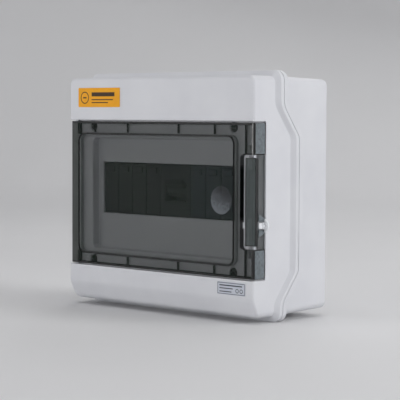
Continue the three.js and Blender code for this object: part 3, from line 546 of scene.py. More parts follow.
# key: name, tone, other tone, roughness, grain in mm, grain strength, specular
MOULDED = dict(
    shell=("shell_grey", (214, 215, 219), (208, 209, 214), 0.40, 0.4, 0.10),
    seal=("seal_black", (17, 18, 19), (24, 25, 26), 0.62, 0.6, 0.25, 0.3),
    foam=("seal_foam_grey", (172, 174, 176), (160, 162, 164), 0.7, 0.5, 0.3, 0.2),
    # edge: near-black painted shade for smoked plastic seen edge-on, where light turns back inside it, and
    # for the thin gaps round the door and lever
    edge=("smoked_edge_shade", (9, 11, 12), (15, 17, 18), 0.16, 2.0, 0.04),
    lug=("lug_white", (232, 234, 237), (224, 226, 230), 0.30, 0.8, 0.08),
    # device and carrier: near-black, darker than the parts' own grey, painted shade of the box's dim inside
    # seen through the window
    device=("device_painted_shade", (32, 35, 39), (26, 29, 33), 0.55, 0.3, 0.3, 0.3),
    carrier=("carrier_painted_shade", (20, 22, 26), (16, 18, 22), 0.50, 0.3, 0.3, 0.3),
    surge=("surge_slate", (38, 48, 60), (31, 41, 52), 0.48, 0.3, 0.3, 0.3),
    ceramic=("fuse_ceramic", (230, 226, 214), (220, 215, 201), 0.35, 0.5, 0.06),
    red=("wire_red", (160, 26, 24), (140, 20, 20), 0.40, 1.0, 0.10),
    black=("wire_black", (24, 24, 25), (32, 32, 33), 0.42, 1.0, 0.10),
    green=("wire_green", (52, 138, 60), (44, 120, 52), 0.40, 1.0, 0.10),
)
# key: name, tone, other tone, roughness, stretch of the streaks
PLATED = dict(
    # cover screws: near-black, painted shade of the deep screw holes they sit in
    screw_shade=("screw_shade_steel", (40, 41, 43), (28, 29, 31), 0.4),
    zinc=("zinc_plate", (190, 194, 198), (168, 172, 178), 0.34),
    brass=("earth_brass", (196, 158, 88), (178, 140, 74), 0.32, (0.2, 1, 1)),
    copper=("comb_copper", (190, 118, 78), (170, 100, 62), 0.36, (0.2, 1, 1)),
)
# key: name, tone, other tone, alpha, grain in mm, grain strength
FROSTED = dict(
    # knuckle: smoked plastic made darker and more opaque than the door, painted shade of the hinge trough
    # seen through it
    thick=("smoked_thick", (48, 53, 50), (54, 60, 57), 0.84, 2.0, 0.04),
    frosted=("smoked_frosted", (84, 92, 97), (118, 127, 132), 0.92, 0.7, 0.6),
    lever=("smoked_lever", (58, 68, 68), (68, 78, 78), 0.68, 1.5, 0.05),
)


def make_materials():
    clear = smoked_clear("smoked_clear", srgb(26, 38, 30), srgb(22, 33, 27), 0.345)
    materials = dict(clear=clear, dish=smoked_dish_painted_shade("smoked_dish_painted_shade"))
    for make, table in ((moulded, MOULDED), (plated, PLATED), (smoked_frosted, FROSTED)):
        for key, (name, tone, other_tone, *rest) in table.items():
            materials[key] = make(name, srgb(*tone), srgb(*other_tone), *rest)
    return materials


# ---- cover and base shells ----
def outline_at(growth, share):
    """A ring outline: the body's, grown by growth, then moved towards the flange's by share."""
    width, height = BODY["width"] + 2 * growth, BODY["height"] + 2 * growth
    inner = half_outline(width, height, BODY["corner"] + growth, LEVELS)
    if not share:
        return inner
    outer = half_outline(FLANGE["width"], FLANGE["height"], FLANGE["corner"], LEVELS)
    return [(a + share * (c - a), b + share * (d - b)) for (a, b), (c, d) in zip(inner, outer)]


def along_seam(shift):
    """Depths that follow the parting line, this far behind it."""
    return lambda z: seam_depth(z) + shift


def along_front(drop):
    """Depths that follow the cover's front, this far behind it."""
    return lambda z: front_depth(z) + drop


def level(depth):
    return lambda z: depth


def shell_ring(growth, share, depth_at):
    return [(x, depth_at(z), z) for x, z in ring_from_half(outline_at(growth, share))]


LEVELS = side_levels(LEVEL_REACH)


def cover_rings():
    """From the front fillet back along the side, over the flange's bead and lip, and forward inside."""
    bead = [(0.0, -BEAD_START), (0.01, -7.7), (0.05, -7.35)]
    bead += [(0.05 + 0.87 * t, -7.35 + 3.35 * t) for t in (0.33, 0.67, 1.0)]
    bead += [(0.97, -3.75), (1.0, -3.3), (1.0, -LIP_GAP - 0.35)]
    lip = [(0.97, -LIP_GAP - 0.1), (0.9, -LIP_GAP), (0.76, -LIP_GAP), (0.75, -SEAM_GAP), (0.15, -SEAM_GAP)]
    rings = [shell_ring(-inset, 0, along_front(drop)) for inset, drop in fillet(FRONT_FILLET, 5)]
    rings.append(shell_ring(0, 0, level(SIDE_START)))
    rings += [shell_ring(0, share, along_seam(shift)) for share, shift in bead + lip]
    rings.append(shell_ring(-WALL, 0, along_seam(-SEAM_GAP)))
    rings.append(shell_ring(-WALL, 0, level(SIDE_START + 1.0)))
    rings.append(shell_ring(-WALL, 0, along_front(WALL)))
    return rings


def make_cover(m):
    cover = loft("cover_shell", cover_rings())
    side = BAY["side_x"]
    tray = slab("tray", -side - 0.3, side + 0.3, 0.4, BAY["side_depth"] + BAY["plate"],
                BAY["bottom"] - BAY["plate"], BAY["top"] + BAY["plate"])
    hollow_x = side - BAY["plate"]
    hollow_front = BAY["depth"] + BAY["plate"]
    tray = cut(tray, slab("hollow", -hollow_x, hollow_x, hollow_front, 40, BAY["bottom"], BAY["top"]))
    wall = RECESS["wall"]
    linings = [
        tub_in("recess_wall", RECESS, RECESS["corner"],
               [(wall, BAY["depth"] + 0.5), (wall, RECESS["depth"] + wall)]),
        wall_round("pocket_wall", POCKET, side, BAY["depth"] + 0.4),
        wall_round("relief_wall", RELIEF, side, BAY["depth"] + 0.3),
    ]
    boss = [(SCREW_BOSS["radius"], BAY["depth"] + 0.6), (SCREW_BOSS["radius"], SCREW_BOSS["back"])]
    linings += [turned("boss", x, z, boss) for x, z in COVER_SCREWS]
    for low, high in ((BAY["bottom"] - 8, BAY["bottom"] + 0.2), (BAY["top"] - 0.2, BAY["top"] + 8)):
        linings.append(on_hinge_axis("housing", [(HINGE["housing"], low), (HINGE["housing"], high)]))
    trough = HINGE["trough"] + HINGE["wall"]
    trough_rings = [(trough, BAY["bottom"] - 0.1), (trough, BAY["top"] + 0.1)]
    trough_wall = on_hinge_axis("trough_wall", trough_rings, 48)
    outside = slab("outside", -140, -BODY["width"] / 2 + 0.02, -20, 60, -120, 120)
    trough_wall = cut(trough_wall, outside, slab("before", -140, 0, -20, 0.5, -120, 120))
    cover = join(cover, tray, trough_wall, *linings)
    cover = cut(cover, *cover_cutters())
    finish_piece(cover, "enclosure", "shell_plastic", [m["shell"]], ["front_cover"])


def wall_round(name, hollow, right, front):
    """The block that a hollow beside the latch is cut into, one wall thicker than the hollow."""
    wall = hollow["wall"]
    return slab(name, hollow["left"] - wall, right, front, hollow["depth"] + wall,
                hollow["bottom"] - wall, hollow["top"] + wall)


def cover_cutters():
    lip = 0.7
    top, bottom, floor = BAY["top"], BAY["bottom"], BAY["depth"]
    section = [(-5, bottom - lip)]
    section += [(drop, bottom - inset) for inset, drop in fillet(lip)]
    section += [(floor, bottom), (floor, top)]
    section += [(drop, top + inset) for inset, drop in reversed(fillet(lip))]
    section += [(-5, top + lip)]
    bay = prism("bay", section, from_side, -130, 130)
    cutout_rings = [(0.5, 8), (0.5, RECESS["depth"]), (0, RECESS["depth"] + 0.6), (0, 20)]
    cutters = [
        bay,
        slab("side_step", BAY["side_x"], 130, -5, BAY["side_depth"], bottom, top),
        slab("hinge_side", -130, -BAY["side_x"], -5, HINGE["depth"] + HINGE["trough"], bottom, top),
        on_hinge_axis("trough", [(HINGE["trough"], bottom), (HINGE["trough"], top)], 48),
        on_hinge_axis("pin_hole", [(HINGE["bore"], bottom - 6.6), (HINGE["bore"], top + 6.6)], 24),
        tub_in("recess", RECESS, RECESS["corner"], pocket_rings(floor, RECESS["depth"], 1.1, 1.0)),
        tub_in("cutout", CUTOUT, 0.8, cutout_rings),
        tub_in("pocket", POCKET, 0.8, pocket_rings(floor, POCKET["depth"], 0.4, 0.5)),
        slab("relief", RELIEF["left"], 130, -5, RELIEF["depth"], RELIEF["bottom"], RELIEF["top"]),
    ]
    head, seat, shank = SCREW_BOSS["head"], SCREW_BOSS["seat"], SCREW_BOSS["shank"]
    screw_rings = [(head, -2), (head, floor), (seat, floor + 0.6), (seat, SCREW_BOSS["seat_depth"])]
    for x, z in COVER_SCREWS:
        cutters.append(turned("screw_hole", x, z, screw_rings))
        cutters.append(turned("shank_hole", x, z, [(shank, 4), (shank, 40)], 24))
    return cutters


def base_outline(depth, growth):
    """The base's outside at a depth: it tapers from the body's size to the back's."""
    share = min(1.0, max(0.0, (depth - SEAM_SHALLOW) / (DEPTH - SEAM_SHALLOW)))
    width = BODY["width"] + share * (BASE_BACK["width"] - BODY["width"]) + 2 * growth
    height = BODY["height"] + share * (BASE_BACK["height"] - BODY["height"]) + 2 * growth
    return half_outline(width, height, BODY["corner"] + growth, LEVELS)


def base_side_ring(depth_at, growth, share=0.0):
    """A ring whose depth changes with height, so each point takes the taper at its own depth."""
    half = []
    plain = base_outline(SEAM_SHALLOW, growth)
    flange = half_outline(FLANGE["width"], FLANGE["height"], FLANGE["corner"], LEVELS)
    for index, (_, z) in enumerate(plain):
        x, tapered_z = base_outline(depth_at(z), growth)[index]
        fx, fz = flange[index]
        half.append((x + share * (fx - x), tapered_z + share * (fz - tapered_z)))
    ring = ring_from_half(half)
    depths = [depth_at(z) for _, z in plain]
    depths += list(reversed(depths))
    return [(x, d, z) for (x, z), d in zip(ring, depths)]


def base_rings():
    """From the rim's inner edge over the flange, then back along the side to the rear fillet."""
    rim = [(0.15, SEAM_GAP), (0.75, SEAM_GAP), (0.76, LIP_GAP), (0.9, LIP_GAP)]
    rim += [(0.97, LIP_GAP + 0.1), (1.0, LIP_GAP + 0.35)]
    rim += [(1.0, RIM_BACK - 0.6), (0.95, RIM_BACK - 0.15), (0.82, RIM_BACK), (0.34, RIM_BACK)]
    rim += [(0.13, RIM_BACK + 0.3), (0.03, RIM_BACK + 0.9), (0.0, RIM_BACK + 1.8)]
    radius = BASE_BACK["fillet"]
    rings = [base_side_ring(along_seam(SEAM_GAP), -WALL)]
    rings += [base_side_ring(along_seam(shift), 0, share) for share, shift in rim]
    rings += [base_side_ring(level(depth), 0) for depth in (68.0, 80.0, DEPTH - radius)]
    for drop, inset in fillet(radius, 7)[1:]:
        rings.append(base_side_ring(level(DEPTH - drop), -inset))
    return rings


def make_base(m):
    base = loft("base_body", base_rings())
    inner = [base_side_ring(level(depth), -WALL) for depth in (20.0, 75.0, DEPTH - WALL - 2.0)]
    inner.append(base_side_ring(level(DEPTH - WALL), -WALL - 2.0))
    base = cut(base, loft("inner", inner))
    floor = DEPTH - WALL / 2
    posts = []
    holes = []
    for size, places in ((PILLAR, COVER_SCREWS), (RAIL_POST, RAIL_POSTS), (WALL_BOSS, WALL_HOLES)):
        for x, z in places:
            posts.append(turned("post", x, z, [(size["radius"], size["front"]), (size["radius"], floor)]))
    for x, z in COVER_SCREWS:
        bore = [(PILLAR["bore"], PILLAR["front"] - 1.4), (PILLAR["bore"], PILLAR["bore_end"])]
        holes.append(turned("pillar_hole", x, z, bore, 20))
    for x, z in RAIL_POSTS:
        holes.append(turned("rail_hole", x, z, [(RAIL_POST["bore"], 80), (RAIL_POST["bore"], 92)], 20))
    hole, mouth, wide = WALL_BOSS["hole"], WALL_BOSS["mouth"], WALL_BOSS["counterbore"]
    wall_hole = [(hole, WALL_BOSS["front"] - 1), (hole, DEPTH - 0.6), (mouth, DEPTH), (mouth, DEPTH + 2)]
    counterbore = [(wide, WALL_BOSS["front"] - 5), (wide, WALL_BOSS["counterbore_end"])]
    for x, z in WALL_HOLES:
        holes.append(turned("wall_hole", x, z, wall_hole))
        holes.append(turned("counterbore", x, z, counterbore))
    holes += [knockout_groove(x, side) for x in KNOCKOUT_X for side in (-1, 1)]
    base = cut(join(base, *posts), *holes)
    finish_piece(base, "enclosure", "shell_plastic", [m["shell"]], ["base_shell"])


def knockout_groove(x, side):
    """A shallow ring groove round each cable knock-out in the top and bottom walls."""
    sides = 48
    verts = []
    for i in range(sides):
        a = 2 * math.pi * i / sides
        for radius, z in KNOCKOUT_SECTION:
            verts.append((x + radius * math.cos(a), KNOCKOUT_DEPTH + radius * math.sin(a), side * z))
    faces = []
    for i in range(sides):
        j = (i + 1) % sides
        faces += [(4 * i + k, 4 * i + (k + 1) % 4, 4 * j + (k + 1) % 4, 4 * j + k) for k in range(4)]
    return new_object("groove", verts, faces)


# ---- door ----
def door_section():
    """The door's section seen from above, as (x, depth) points: plate, right return and left knuckle."""
    x, depth, outer = HINGE["x"], HINGE["depth"], HINGE["knuckle"]
    inner = outer - DOOR["plate"]
    half, plate, corner = DOOR["half"], DOOR["plate"], DOOR["corner"]
    inside = half - DOOR["return_wall"]

    def arc(cx, cd, radius, start, end, steps):
        angles = [math.radians(start + (end - start) * i / steps) for i in range(steps + 1)]
        return [(cx + radius * math.cos(a), cd + radius * math.sin(a)) for a in angles]

    section = arc(half - corner, corner, corner, 270, 360, 10)
    section += [(half, DOOR["return_depth"] - 0.4), (half - 0.4, DOOR["return_depth"])]
    section += [(inside + 0.3, DOOR["return_depth"]), (inside, DOOR["return_depth"] - 0.3)]
    section += arc(inside - 1.2, plate + 1.2, 1.2, 0, -90, 5)
    section += arc(x, depth, inner, 270, 152, 14)
    section += arc(x, depth, outer, 152, 270, 18)
    return section


def make_door(m):
    bottom, top, half = DOOR["bottom"], DOOR["top"], DOOR["half"]
    door = prism("door_panel", door_section(), from_above, bottom, top)
    bevel_edges(door, 0.35, 2, 68.75, level_only=True)
    door = join(door, *door_rim(), slot_rim(), *door_ribs(), *door_knuckles())
    side_step = slab("side_step", half - SLOT["step"], half + 5, -5, 16, SLOT["bottom"], SLOT["top"])
    hinge_bores = [on_hinge_axis("bore", [(HINGE["bore"], low), (HINGE["bore"], high)], 24)
                   for low, high in ((top - 11, top + 2), (bottom - 2, bottom + 11))]
    door = cut(door, dish_lens(), finger_slot(), window_line(), side_step, *hinge_bores)
    boss = (107.9, half - 0.9, 0.9, 7.1)
    bosses = [
        slab("boss", *boss, SLOT["top"] - 0.01, SLOT["top"] + 6.2),
        slab("boss", *boss, SLOT["bottom"] - 6.2, SLOT["bottom"] + 0.01),
        gusset(1),
        gusset(-1),
    ]
    door = join(door, *bosses)
    lug_slot = slab("lug_slot", half - 4, half + 2, 5.9, 16, LUG["z"] - 3.6, LUG["z"] + 3.6)
    pin_ends = ((SLOT["bottom"] - 4.2, SLOT["bottom"] + 1), (SLOT["top"] - 1, SLOT["top"] + 4.2))
    bore, axis = LEVER_AXIS["bore"], (LEVER_AXIS["x"], LEVER_AXIS["depth"])
    pin_bores = [turned_upright("pin_bore", *axis, [(bore, low), (bore, high)], 16) for low, high in pin_ends]
    door = cut(door, lug_slot, *pin_bores)
    for axis, at in (
        ("z", bottom + EDGE_STRIP), ("z", top - EDGE_STRIP), ("x", HINGE["x"] + HINGE["trough"] - 0.5),
        ("y", FRONT_Y / MM + RETURN_BORDER),
        ("z", SLOT["top"] + SLOT_BORDER), ("z", SLOT["bottom"] - SLOT_BORDER),
    ):
        score(door, axis, at)
    looks = [m["clear"], m["edge"], m["frosted"], m["dish"], m["thick"]]
    finish_piece(door, "door", "smoked_door", looks, ["door"], DOOR_SHARP_ANGLE)
    mark_door_faces(door)


def door_rim():
    """The low walls along the top and bottom edges of the door's back."""
    left, right = -100.8, DOOR["half"] - 1.5
    bottom, top = DOOR["bottom"], DOOR["top"]
    return [slab("rim", left, right, 1.0, 4.6, top - 2.0, top - 0.35),
            slab("rim", left, right, 1.0, 4.6, bottom + 0.35, bottom + 2.0)]


def door_ribs():
    """Thin upright ribs on the door's back: one beside the latch, the rest above and below the window."""
    front, back, width = 2.0, 4.4, 1.0
    bottom, top = DOOR["bottom"] + 1, DOOR["top"] - 1
    reach = (WINDOW["height"] + WINDOW["seal"]) / 2 + 0.4
    ribs = [slab("rib", RIB_CORNER_X - width / 2, RIB_CORNER_X + width / 2, front, back, bottom, top)]
    for offset in RIB_OFFSETS:
        left = WINDOW["x"] + offset - width / 2
        ribs.append(slab("rib", left, left + width, front, back, WINDOW["z"] + reach, top))
        ribs.append(slab("rib", left, left + width, front, back, bottom, WINDOW["z"] - reach))
    return ribs


def door_knuckles():
    """The round ends of the hinge edge, which the pins run in."""
    bottom, top, radius = DOOR["bottom"], DOOR["top"], HINGE["knuckle"] - 0.02
    ends = [[(radius, top - 12), (radius, top - 0.3), (5.1, top)],
            [(5.1, bottom), (radius, bottom + 0.3), (radius, bottom + 12)]]
    return [on_hinge_axis("knuckle", rings, 40) for rings in ends]


def score(obj, axis, at):
    """Adds edges where a plane crosses the mesh, so that a material can end there."""
    normal = dict(x=Vector((1, 0, 0)), y=Vector((0, 1, 0)), z=Vector((0, 0, 1)))[axis]
    with edited(obj.data) as work:
        everything = [*work.verts, *work.edges, *work.faces]
        bmesh.ops.bisect_plane(work, geom=everything, plane_co=normal * at * MM, plane_no=normal)


def mark_door_faces(door):
    """Edge-on faces, ribs, rim backs, the corner, the slot's border, the edge strips, the window line and the
    return's outline take the near-black painted shade of smoked plastic seen edge-on and of the gaps round
    it; the side return and the dish are frosted; the knuckle takes a darker smoked colour, painted shade of
    the hinge trough behind it.
    """
    for face in door.data.polygons:
        x, y, z = face.center / MM
        depth = y + DEPTH
        normal = face.normal
        edge_on = abs(normal.z) > 0.5
        rib = depth > 2.9 and abs(normal.x) > 0.5 and -99.0 < x < 105.0
        rim_back = depth > 3.2 and x < 109.0 and normal.y > 0.5 and x > -99.0
        corner = x > DOOR["half"] - 2.6 and depth < 2.4 and 0.25 < normal.x < 0.97
        on_return = x > DOOR["half"] - 0.05 and normal.x > 0.97 and depth > 2.5
        around_slot = SLOT["left"] - 1.1 < x < SLOT["left"] + 3.4 and (abs(normal.y) < 0.7 or depth > 4.0)
        around_slot = around_slot and SLOT["bottom"] - 1.1 < z < SLOT["top"] + 1.1
        line = 0.02 < depth < WINDOW_LINE["depth"] + 0.05 and x < 94 and normal.y < 0.5
        line = line and near_window_line(x, z)
        strip = not DOOR["bottom"] + EDGE_STRIP < z < DOOR["top"] - EDGE_STRIP and x < 109.5
        knuckle = x < HINGE["x"] + HINGE["trough"] - 0.4
        in_dish = math.hypot(x - DISH["x"], z - DISH["z"]) < DISH["radius"] and 0.03 < depth < 1.5
        beside_slot = min(abs(z - SLOT["top"]), abs(z - SLOT["bottom"])) < SLOT_BORDER
        outlined = depth > RETURN_BORDER or beside_slot
        if in_dish:
            face.material_index = 3
        elif on_return and outlined:
            face.material_index = 1
        elif on_return:
            face.material_index = 2
        elif edge_on or rib or rim_back or corner or around_slot or strip or line:
            face.material_index = 1
        elif knuckle:
            face.material_index = 4
        else:
            face.material_index = 0


def near_window_line(x, z):
    """Whether a point lies on the line round the window or outside it."""
    dx, dz = abs(x - WINDOW["x"]) - WINDOW["width"] / 2, abs(z - WINDOW["z"]) - WINDOW["height"] / 2
    reach = WINDOW_LINE["width"] / 2 + 0.1
    return -WINDOW["corner"] < dx < reach and -WINDOW["corner"] < dz < reach or max(dx, dz) > -reach


def dish_lens():
    """The cutter for the round dish: a slice of a sphere."""
    radius, depth = DISH["radius"], DISH["depth"]
    sphere = (radius ** 2 + depth ** 2) / (2 * depth)
    rings = [(radius + 0.25, -1.0), (radius + 0.25, 0.0)]
    steps = 8
    for i in range(1, steps + 1):
        r = radius * (1 - i / (steps + 0.5))
        rings.append((r, math.sqrt(sphere ** 2 - r ** 2) - (sphere - depth)))
    return turned("dish", DISH["x"], DISH["z"], rings, 48)


def slot_outline(grow, right=DOOR["half"] - 1.0):
    """The latch's slot, open to the right, as (x, z) points."""
    z0, z1, left = SLOT["bottom"] - grow, SLOT["top"] + grow, SLOT["left"] - grow
    corner = SLOT["corner"] + grow
    arc = quarter(10)
    outline = [(right, z0), (right, z1)]
    outline += [(left + corner - corner * math.sin(a), z1 - corner + corner * math.cos(a)) for a in arc]
    outline += [(left + corner - corner * math.cos(a), z0 + corner - corner * math.sin(a)) for a in arc]
    return outline


def window_line():
    """The fine line moulded into the door's face round the window; it takes the near-black painted edge
    shade.
    """
    half = WINDOW_LINE["width"] / 2
    shape = [WINDOW[key] for key in ("x", "z", "width", "height", "corner")]
    outer = tub("line", *shape, [(half, -1.0), (half, WINDOW_LINE["depth"])], 12)
    inner = tub("island", *shape, [(-half, -2.0), (-half, 3.0)], 12)
    return cut(outer, inner)


def slot_rim():
    """The raised edge round the slot on the door's back."""
    return prism("slot_rim", slot_outline(1.0), from_front, 2.0, 4.6)


def finger_slot():
    """The cutter for the latch's slot, through the door's edge."""
    return prism("finger_slot", slot_outline(0.0, 130), from_front, -5, SLOT["depth"])


def gusset(side):
    """The wedge above or below the lug's slot in the door's return."""
    near, front, back = GUSSET["near"], SLOT["depth"], GUSSET["back"]
    wide, narrow = near + GUSSET["width"], near + GUSSET["far_width"]
    corners = [(front, near), (front, wide), (back, narrow), (back, near)]
    outline = [(d, LUG["z"] + side * z) for d, z in corners]
    return prism("gusset", outline, from_side, DOOR["half"] - 2.5, DOOR["half"])


# ---- camera, lights and stage ----
def make_camera():
    """Placed by the view's own angles: 43.8 degrees round to the right of the door and 3.1 degrees up."""
    data = bpy.data.cameras.new("camera")
    data.sensor_width = CAMERA["sensor"]
    data.lens = CAMERA["lens"]
    data.clip_start = 0.05
    camera = link(bpy.data.objects.new("camera", data))
    forward = Vector(CAMERA["forward"]).normalized()
    right = forward.cross(Vector(CAMERA["up"])).normalized()
    up = right.cross(forward).normalized()
    turn = Matrix((right, up, -forward)).transposed().to_4x4()
    camera.matrix_world = Matrix.Translation(CAMERA["location"]) @ turn
    bpy.context.scene.camera = camera


def area_light(name, location, size, power, aim=(0, 0, 0)):
    data = bpy.data.lights.new(name, "AREA")
    data.shape = "RECTANGLE"
    data.size, data.size_y = size
    data.energy = power
    light = link(bpy.data.objects.new(name, data))
    light.location = location
    direction = Vector(aim) - Vector(location)
    light.rotation_euler = direction.to_track_quat("-Z", "Y").to_euler()


def make_stage():
    """A pale floor that curves up into a round backdrop."""
    floor_z = cad_box[0][2]
    radius, bend, sides, steps = STAGE["radius"], STAGE["bend"], STAGE["sides"], STAGE["bend_steps"]
    profile = [(STAGE["middle"], 0.0), (radius - bend, 0.0)]
    for a in quarter(steps)[1:]:
        profile.append((radius - bend + bend * math.sin(a), bend * (1 - math.cos(a))))
    profile.append((radius, STAGE["wall"]))
    circle = [(math.cos(2 * math.pi * i / sides), math.sin(2 * math.pi * i / sides)) for i in range(sides)]
    verts = [(0, 0, floor_z)]
    for r, h in profile:
        verts += [(r * c, r * s, floor_z + h) for c, s in circle]
    faces = [(0, 1 + i, 1 + (i + 1) % sides) for i in range(sides)]
    for k in range(len(profile) - 1):
        a, b = 1 + k * sides, 1 + (k + 1) * sides
        faces += [(a + i, b + i, b + (i + 1) % sides, a + (i + 1) % sides) for i in range(sides)]
    mesh = bpy.data.meshes.new("stage_floor")
    mesh.from_pydata(verts, [], faces)
    mesh.shade_smooth()
    floor = link(bpy.data.objects.new("stage_floor", mesh))
    shader = Shader("stage_paper")
    soft = shader.between(shader.noise(400, 2.0), 0.0, 1.0)
    shader.set(Base_Color=shader.mix(soft, (0.74, 0.74, 0.75, 1), (0.72, 0.72, 0.73, 1)), Roughness=0.75)
    mesh.materials.append(shader.material)


def make_lights():
    for light in LIGHTS:
        area_light(**light)
    world = bpy.data.worlds.new("studio")
    world.use_nodes = True
    background = world.node_tree.nodes["Background"]
    background.inputs[0].default_value = WORLD["color"]
    background.inputs[1].default_value = WORLD["strength"]
    bpy.context.scene.world = world


# ---- pieces that keep their CAD shape ----
def soften(node, body, slot, material, width):
    """A copy of a CAD piece with its flats merged and its edges rounded over by width."""
    source = frame["nodes"][node]
    mesh = source.data.copy()
    mesh.name = node + "_soft"
    with edited(mesh) as work:
        bmesh.ops.remove_doubles(work, verts=work.verts, dist=0.000002)
        bmesh.ops.dissolve_limit(work, angle_limit=math.radians(0.6), verts=work.verts, edges=work.edges)
    obj = link(bpy.data.objects.new(node + "_soft", mesh))
    bevel = obj.modifiers.new("rounded edges", "BEVEL")
    bevel.width = width * MM
    bevel.segments = 2
    bevel.limit_method = "ANGLE"
    bevel.angle_limit = math.radians(SOFT_ANGLE)
    bevel.use_clamp_overlap = True
    paint(obj, material)
    shade(obj, SOFT_ANGLE)
    weighted = obj.modifiers.new("even shading", "WEIGHTED_NORMAL")
    weighted.keep_sharp = False
    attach(obj, body)
    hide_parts(node)


SOFT_ANGLE = 38
PLAIN_ANGLE = 35
SLOT_MATERIAL = dict(
    shell_plastic="shell", smoked_door="clear", seal_rubber="seal", white_plastic="lug",
    device_plastic="device", carrier_plastic="carrier", surge_plastic="surge", fuse_ceramic="ceramic",
    zinc_steel="zinc", black_steel="screw_shade", brass="brass", copper="copper", wire_red="red",
    wire_black="black", wire_green="green",
)
MODELLED = ("base_shell", "front_cover", "door", "latch_lever", "seal_lug", "amber_label", "rating_label")
EDGE_RADIUS = dict(
    fuse_holder=0.35, fuse_carrier=0.45, breaker_body=0.4, breaker_toggle=0.5, surge_base=0.35,
    surge_module=0.5, din_rail=0.15, earth_bar=0.2, wall_plug=0.2, latch_pin=0.1, cover_screw=0.15,
    rail_screw=0.12, earth_screw=0.1,
)


def dress_cad_nodes(m):
    """The inner pieces take their slot's material; those with a rounding get their edges softened too."""
    record = frame["record"]
    bodies = {node: body for body, nodes in record["behaviour"]["bodies"].items() for node in nodes}
    for part in record["subparts"]:
        name, slot = part["node"], part["material_slot"]
        if name in MODELLED:
            continue
        material = m["foam"] if name == "door_gasket" else m[SLOT_MATERIAL[slot]]
        family = name.rstrip("_0123456789")
        for ending in ("_left", "_right"):
            family = family.removesuffix(ending)
        if family in EDGE_RADIUS:
            soften(name, bodies[name], slot, material, EDGE_RADIUS[family])
        else:
            node = frame["nodes"][name]
            paint(node, material)
            shade(node, PLAIN_ANGLE)


# ---- latch and labels ----
def make_lever(m):
    x, depth, radius = LEVER_AXIS["x"], LEVER_AXIS["depth"], LEVER_AXIS["radius"]
    left, front, back = LEVER["left"], LEVER["front"], LEVER["front"] + LEVER["thickness"]
    start, end = math.radians(LEVER_AXIS["front_angle"]), math.radians(LEVER_AXIS["back_angle"])
    arc = [start + (end - start) * i / 18 for i in range(19)]
    curve = [(x + radius * math.cos(a), depth + radius * math.sin(a)) for a in arc]
    section = [(left, front), *curve, (left, back)]
    lever = prism("latch_plate", section, from_above, LEVER["bottom"], LEVER["top"])
    bevel_edges(lever, 0.3)
    claw_section = [
        (CLAW["left"], back - 0.8), (CLAW["right"], back - 0.4), (CLAW["right"], CLAW["depth"] - 3),
        (CLAW["tip"], CLAW["depth"] - 2), (CLAW["tip"], CLAW["depth"]), (CLAW["left"], CLAW["depth"]),
    ]
    claw = prism("claw", claw_section, from_above, CLAW["bottom"], CLAW["top"])
    lever = join(lever, bevel_edges(claw, 0.25))
    bore = [(LEVER_AXIS["bore"], LEVER["bottom"] - 1), (LEVER_AXIS["bore"], LEVER["top"] + 1)]
    lever = cut(lever, turned_upright("bore", x, depth, bore, 20))
    border_x = left + LEVER_SIDE_BORDER
    border_bottom, border_top = LEVER["bottom"] + LEVER_BORDER, LEVER["top"] - LEVER_BORDER
    for axis, at in (("x", border_x), ("z", border_bottom), ("z", border_top)):
        score(lever, axis, at)
    finish_piece(lever, "latch", "smoked_door", [m["lever"], m["edge"]], ["latch_lever"])
    # Border and edge-on faces take the near-black painted shade of smoked plastic seen edge-on.
    for face in lever.data.polygons:
        x, _, z = face.center / MM
        on_border = x < border_x or not border_bottom < z < border_top
        face.material_index = 1 if on_border or abs(face.normal.y) < 0.75 else 0


def make_lug(m):
    strip = [(94, 3.5), (103.6, 3.5), (107.4, 7.3), (112.9, 7.3), (112.9, 13.4), (110.5, 13.4),
             (110.5, 8.9), (106.4, 8.9), (104.3, 6.8), (104.3, 5.6), (103.4, 4.7), (94, 4.7)]
    low, high = LUG["z"] - LUG["height"] / 2, LUG["z"] + LUG["height"] / 2
    lug = prism("lug_strip", strip, from_above, low, high)
    bridge = slab("bridge", 111.2, 113.7, 11.2, 15.0, low, high)
    eye = turned("eye", LUG["eye_x"], LUG["z"], rounded_eye(LUG["eye_radius"], 13.2, 15.0, 0.35), 64)
    eye = cut(eye, slab("behind_door", 90, 113.2, 5, 20, -40, 0))
    lug = join(bevel_edges(lug, 0.2, 2), bridge, eye)
    lug = cut(lug, turned("eye_hole", LUG["hole_x"], LUG["z"], [(1.8, 12), (1.8, 16)], 32))
    finish_piece(lug, "enclosure", "white_plastic", [m["lug"]], ["seal_lug"])


def rounded_eye(radius, front, back, edge):
    """Rings for turned(), from front to back, with both edges rounded."""
    near = [(radius - inset, front + drop) for inset, drop in fillet(edge)]
    far = [(radius - inset, back - drop) for inset, drop in reversed(fillet(edge))]
    return near + far


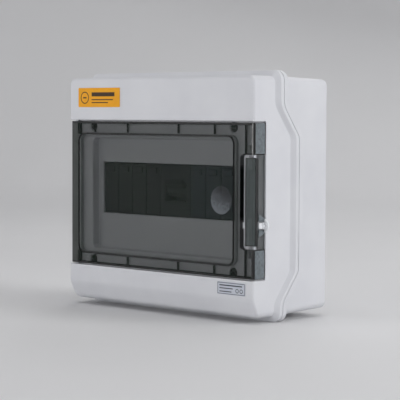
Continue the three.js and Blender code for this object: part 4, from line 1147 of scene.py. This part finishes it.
def printed(name, film, ink, shapes, rough):
    """A film with printed shapes: bars (left, right, bottom, top) and rings (x, z, radius, half width)."""
    shader = Shader(name)
    x, _, z = shader.axes()
    mask = None
    for kind, a, b, c, d in shapes:
        if kind == "bar":
            gap = shader.math("MAXIMUM", outside_span(shader, x, a, b), outside_span(shader, z, c, d))
        else:
            px = shader.math("SUBTRACT", x, a * MM)
            pz = shader.math("SUBTRACT", z, b * MM)
            squares = shader.math("ADD", shader.math("MULTIPLY", px, px), shader.math("MULTIPLY", pz, pz))
            off_ring = shader.math("ABSOLUTE", shader.math("SUBTRACT", shader.math("SQRT", squares), c * MM))
            gap = shader.math("SUBTRACT", off_ring, d * MM)
        mask = gap if mask is None else shader.math("MINIMUM", mask, gap)
    share = shader.nodes.new("ShaderNodeMapRange")
    share.inputs["From Min"].default_value = 0.06 * MM
    share.inputs["From Max"].default_value = -0.06 * MM
    shader.feed(share.inputs["Value"], mask)
    worn_film = tuple(0.94 * v for v in film[:3]) + (1.0,)
    worn = shader.mix(shader.between(shader.noise(6, 3.0), 0.0, 1.0), film, worn_film)
    shader.set(Base_Color=shader.mix(share.outputs[0], worn, ink))
    shader.set(Roughness=shader.between(shader.noise(3, 2.0), rough - 0.05, rough + 0.07))
    shader.principled.inputs["Specular IOR Level"].default_value = 0.3
    shader.set(Normal=shader.bump(shader.noise(8, 2.0), 0.1, 0.05))
    return shader.material


def outside_span(shader, value, low, high):
    """How far a coordinate lies outside low to high, negative inside."""
    middle, half = (low + high) / 2 * MM, (high - low) / 2 * MM
    return shader.math("SUBTRACT", shader.math("ABSOLUTE", shader.math("SUBTRACT", value, middle)), half)


def amber_art(x, z):
    """A ring with a bar in it, and three bars beside it."""
    return [("ring", x - 18.6, z - 0.2, 5.0, 0.45), ("bar", x - 20.8, x - 16.4, z - 0.8, z + 0.4),
            ("bar", x - 9.5, x + 20.5, z + 1.0, z + 4.6), ("bar", x - 9.5, x + 18.5, z - 2.4, z - 1.5),
            ("bar", x - 9.5, x + 12.0, z - 5.0, z - 4.1)]


def rating_art(x, z):
    """A border, three bars and two rings."""
    line = 0.45
    half_w, half_h = RATING["width"] / 2 - 0.5, RATING["height"] / 2 - 0.5
    left, right, bottom, top = x - half_w, x + half_w, z - half_h, z + half_h
    return [("bar", left, right, top - line, top), ("bar", left, right, bottom, bottom + line),
            ("bar", left, left + line, bottom, top), ("bar", right - line, right, bottom, top),
            ("bar", x - 13.2, x + 12.4, z + 2.0, z + 3.0), ("bar", x - 13.2, x + 2.0, z - 0.4, z + 0.4),
            ("bar", x - 13.2, x + 0.5, z - 3.1, z - 2.3), ("ring", x + 6.8, z - 1.5, 1.5, 0.3),
            ("ring", x + 11.4, z - 1.5, 1.5, 0.3)]


def make_labels():
    brown, grey = srgb(60, 40, 12), srgb(52, 56, 66)
    for name, label, slot, film, ink, art in (
        ("amber_label", AMBER, "amber_film", srgb(240, 166, 0), brown, amber_art),
        ("rating_label", RATING, "silver_film", srgb(196, 200, 210), grey, rating_art),
    ):
        rings = [(-0.12, -0.4), (0.0, -0.3), (0.0, -0.1)]
        plate = tub(name + "_film", label["x"], label["z"], label["width"], label["height"], 0.8, rings, 5)
        look = printed(name + "_print", film, ink, art(label["x"], label["z"]), 0.4)
        finish_piece(plate, "enclosure", slot, [look], [name])


def main():
    m = make_materials()
    make_camera()
    make_stage()
    make_lights()
    dress_cad_nodes(m)
    make_cover(m)
    make_base(m)
    make_door(m)
    make_lever(m)
    make_lug(m)
    make_labels()


main()
bpy.context.scene.view_settings.view_transform = "Standard"
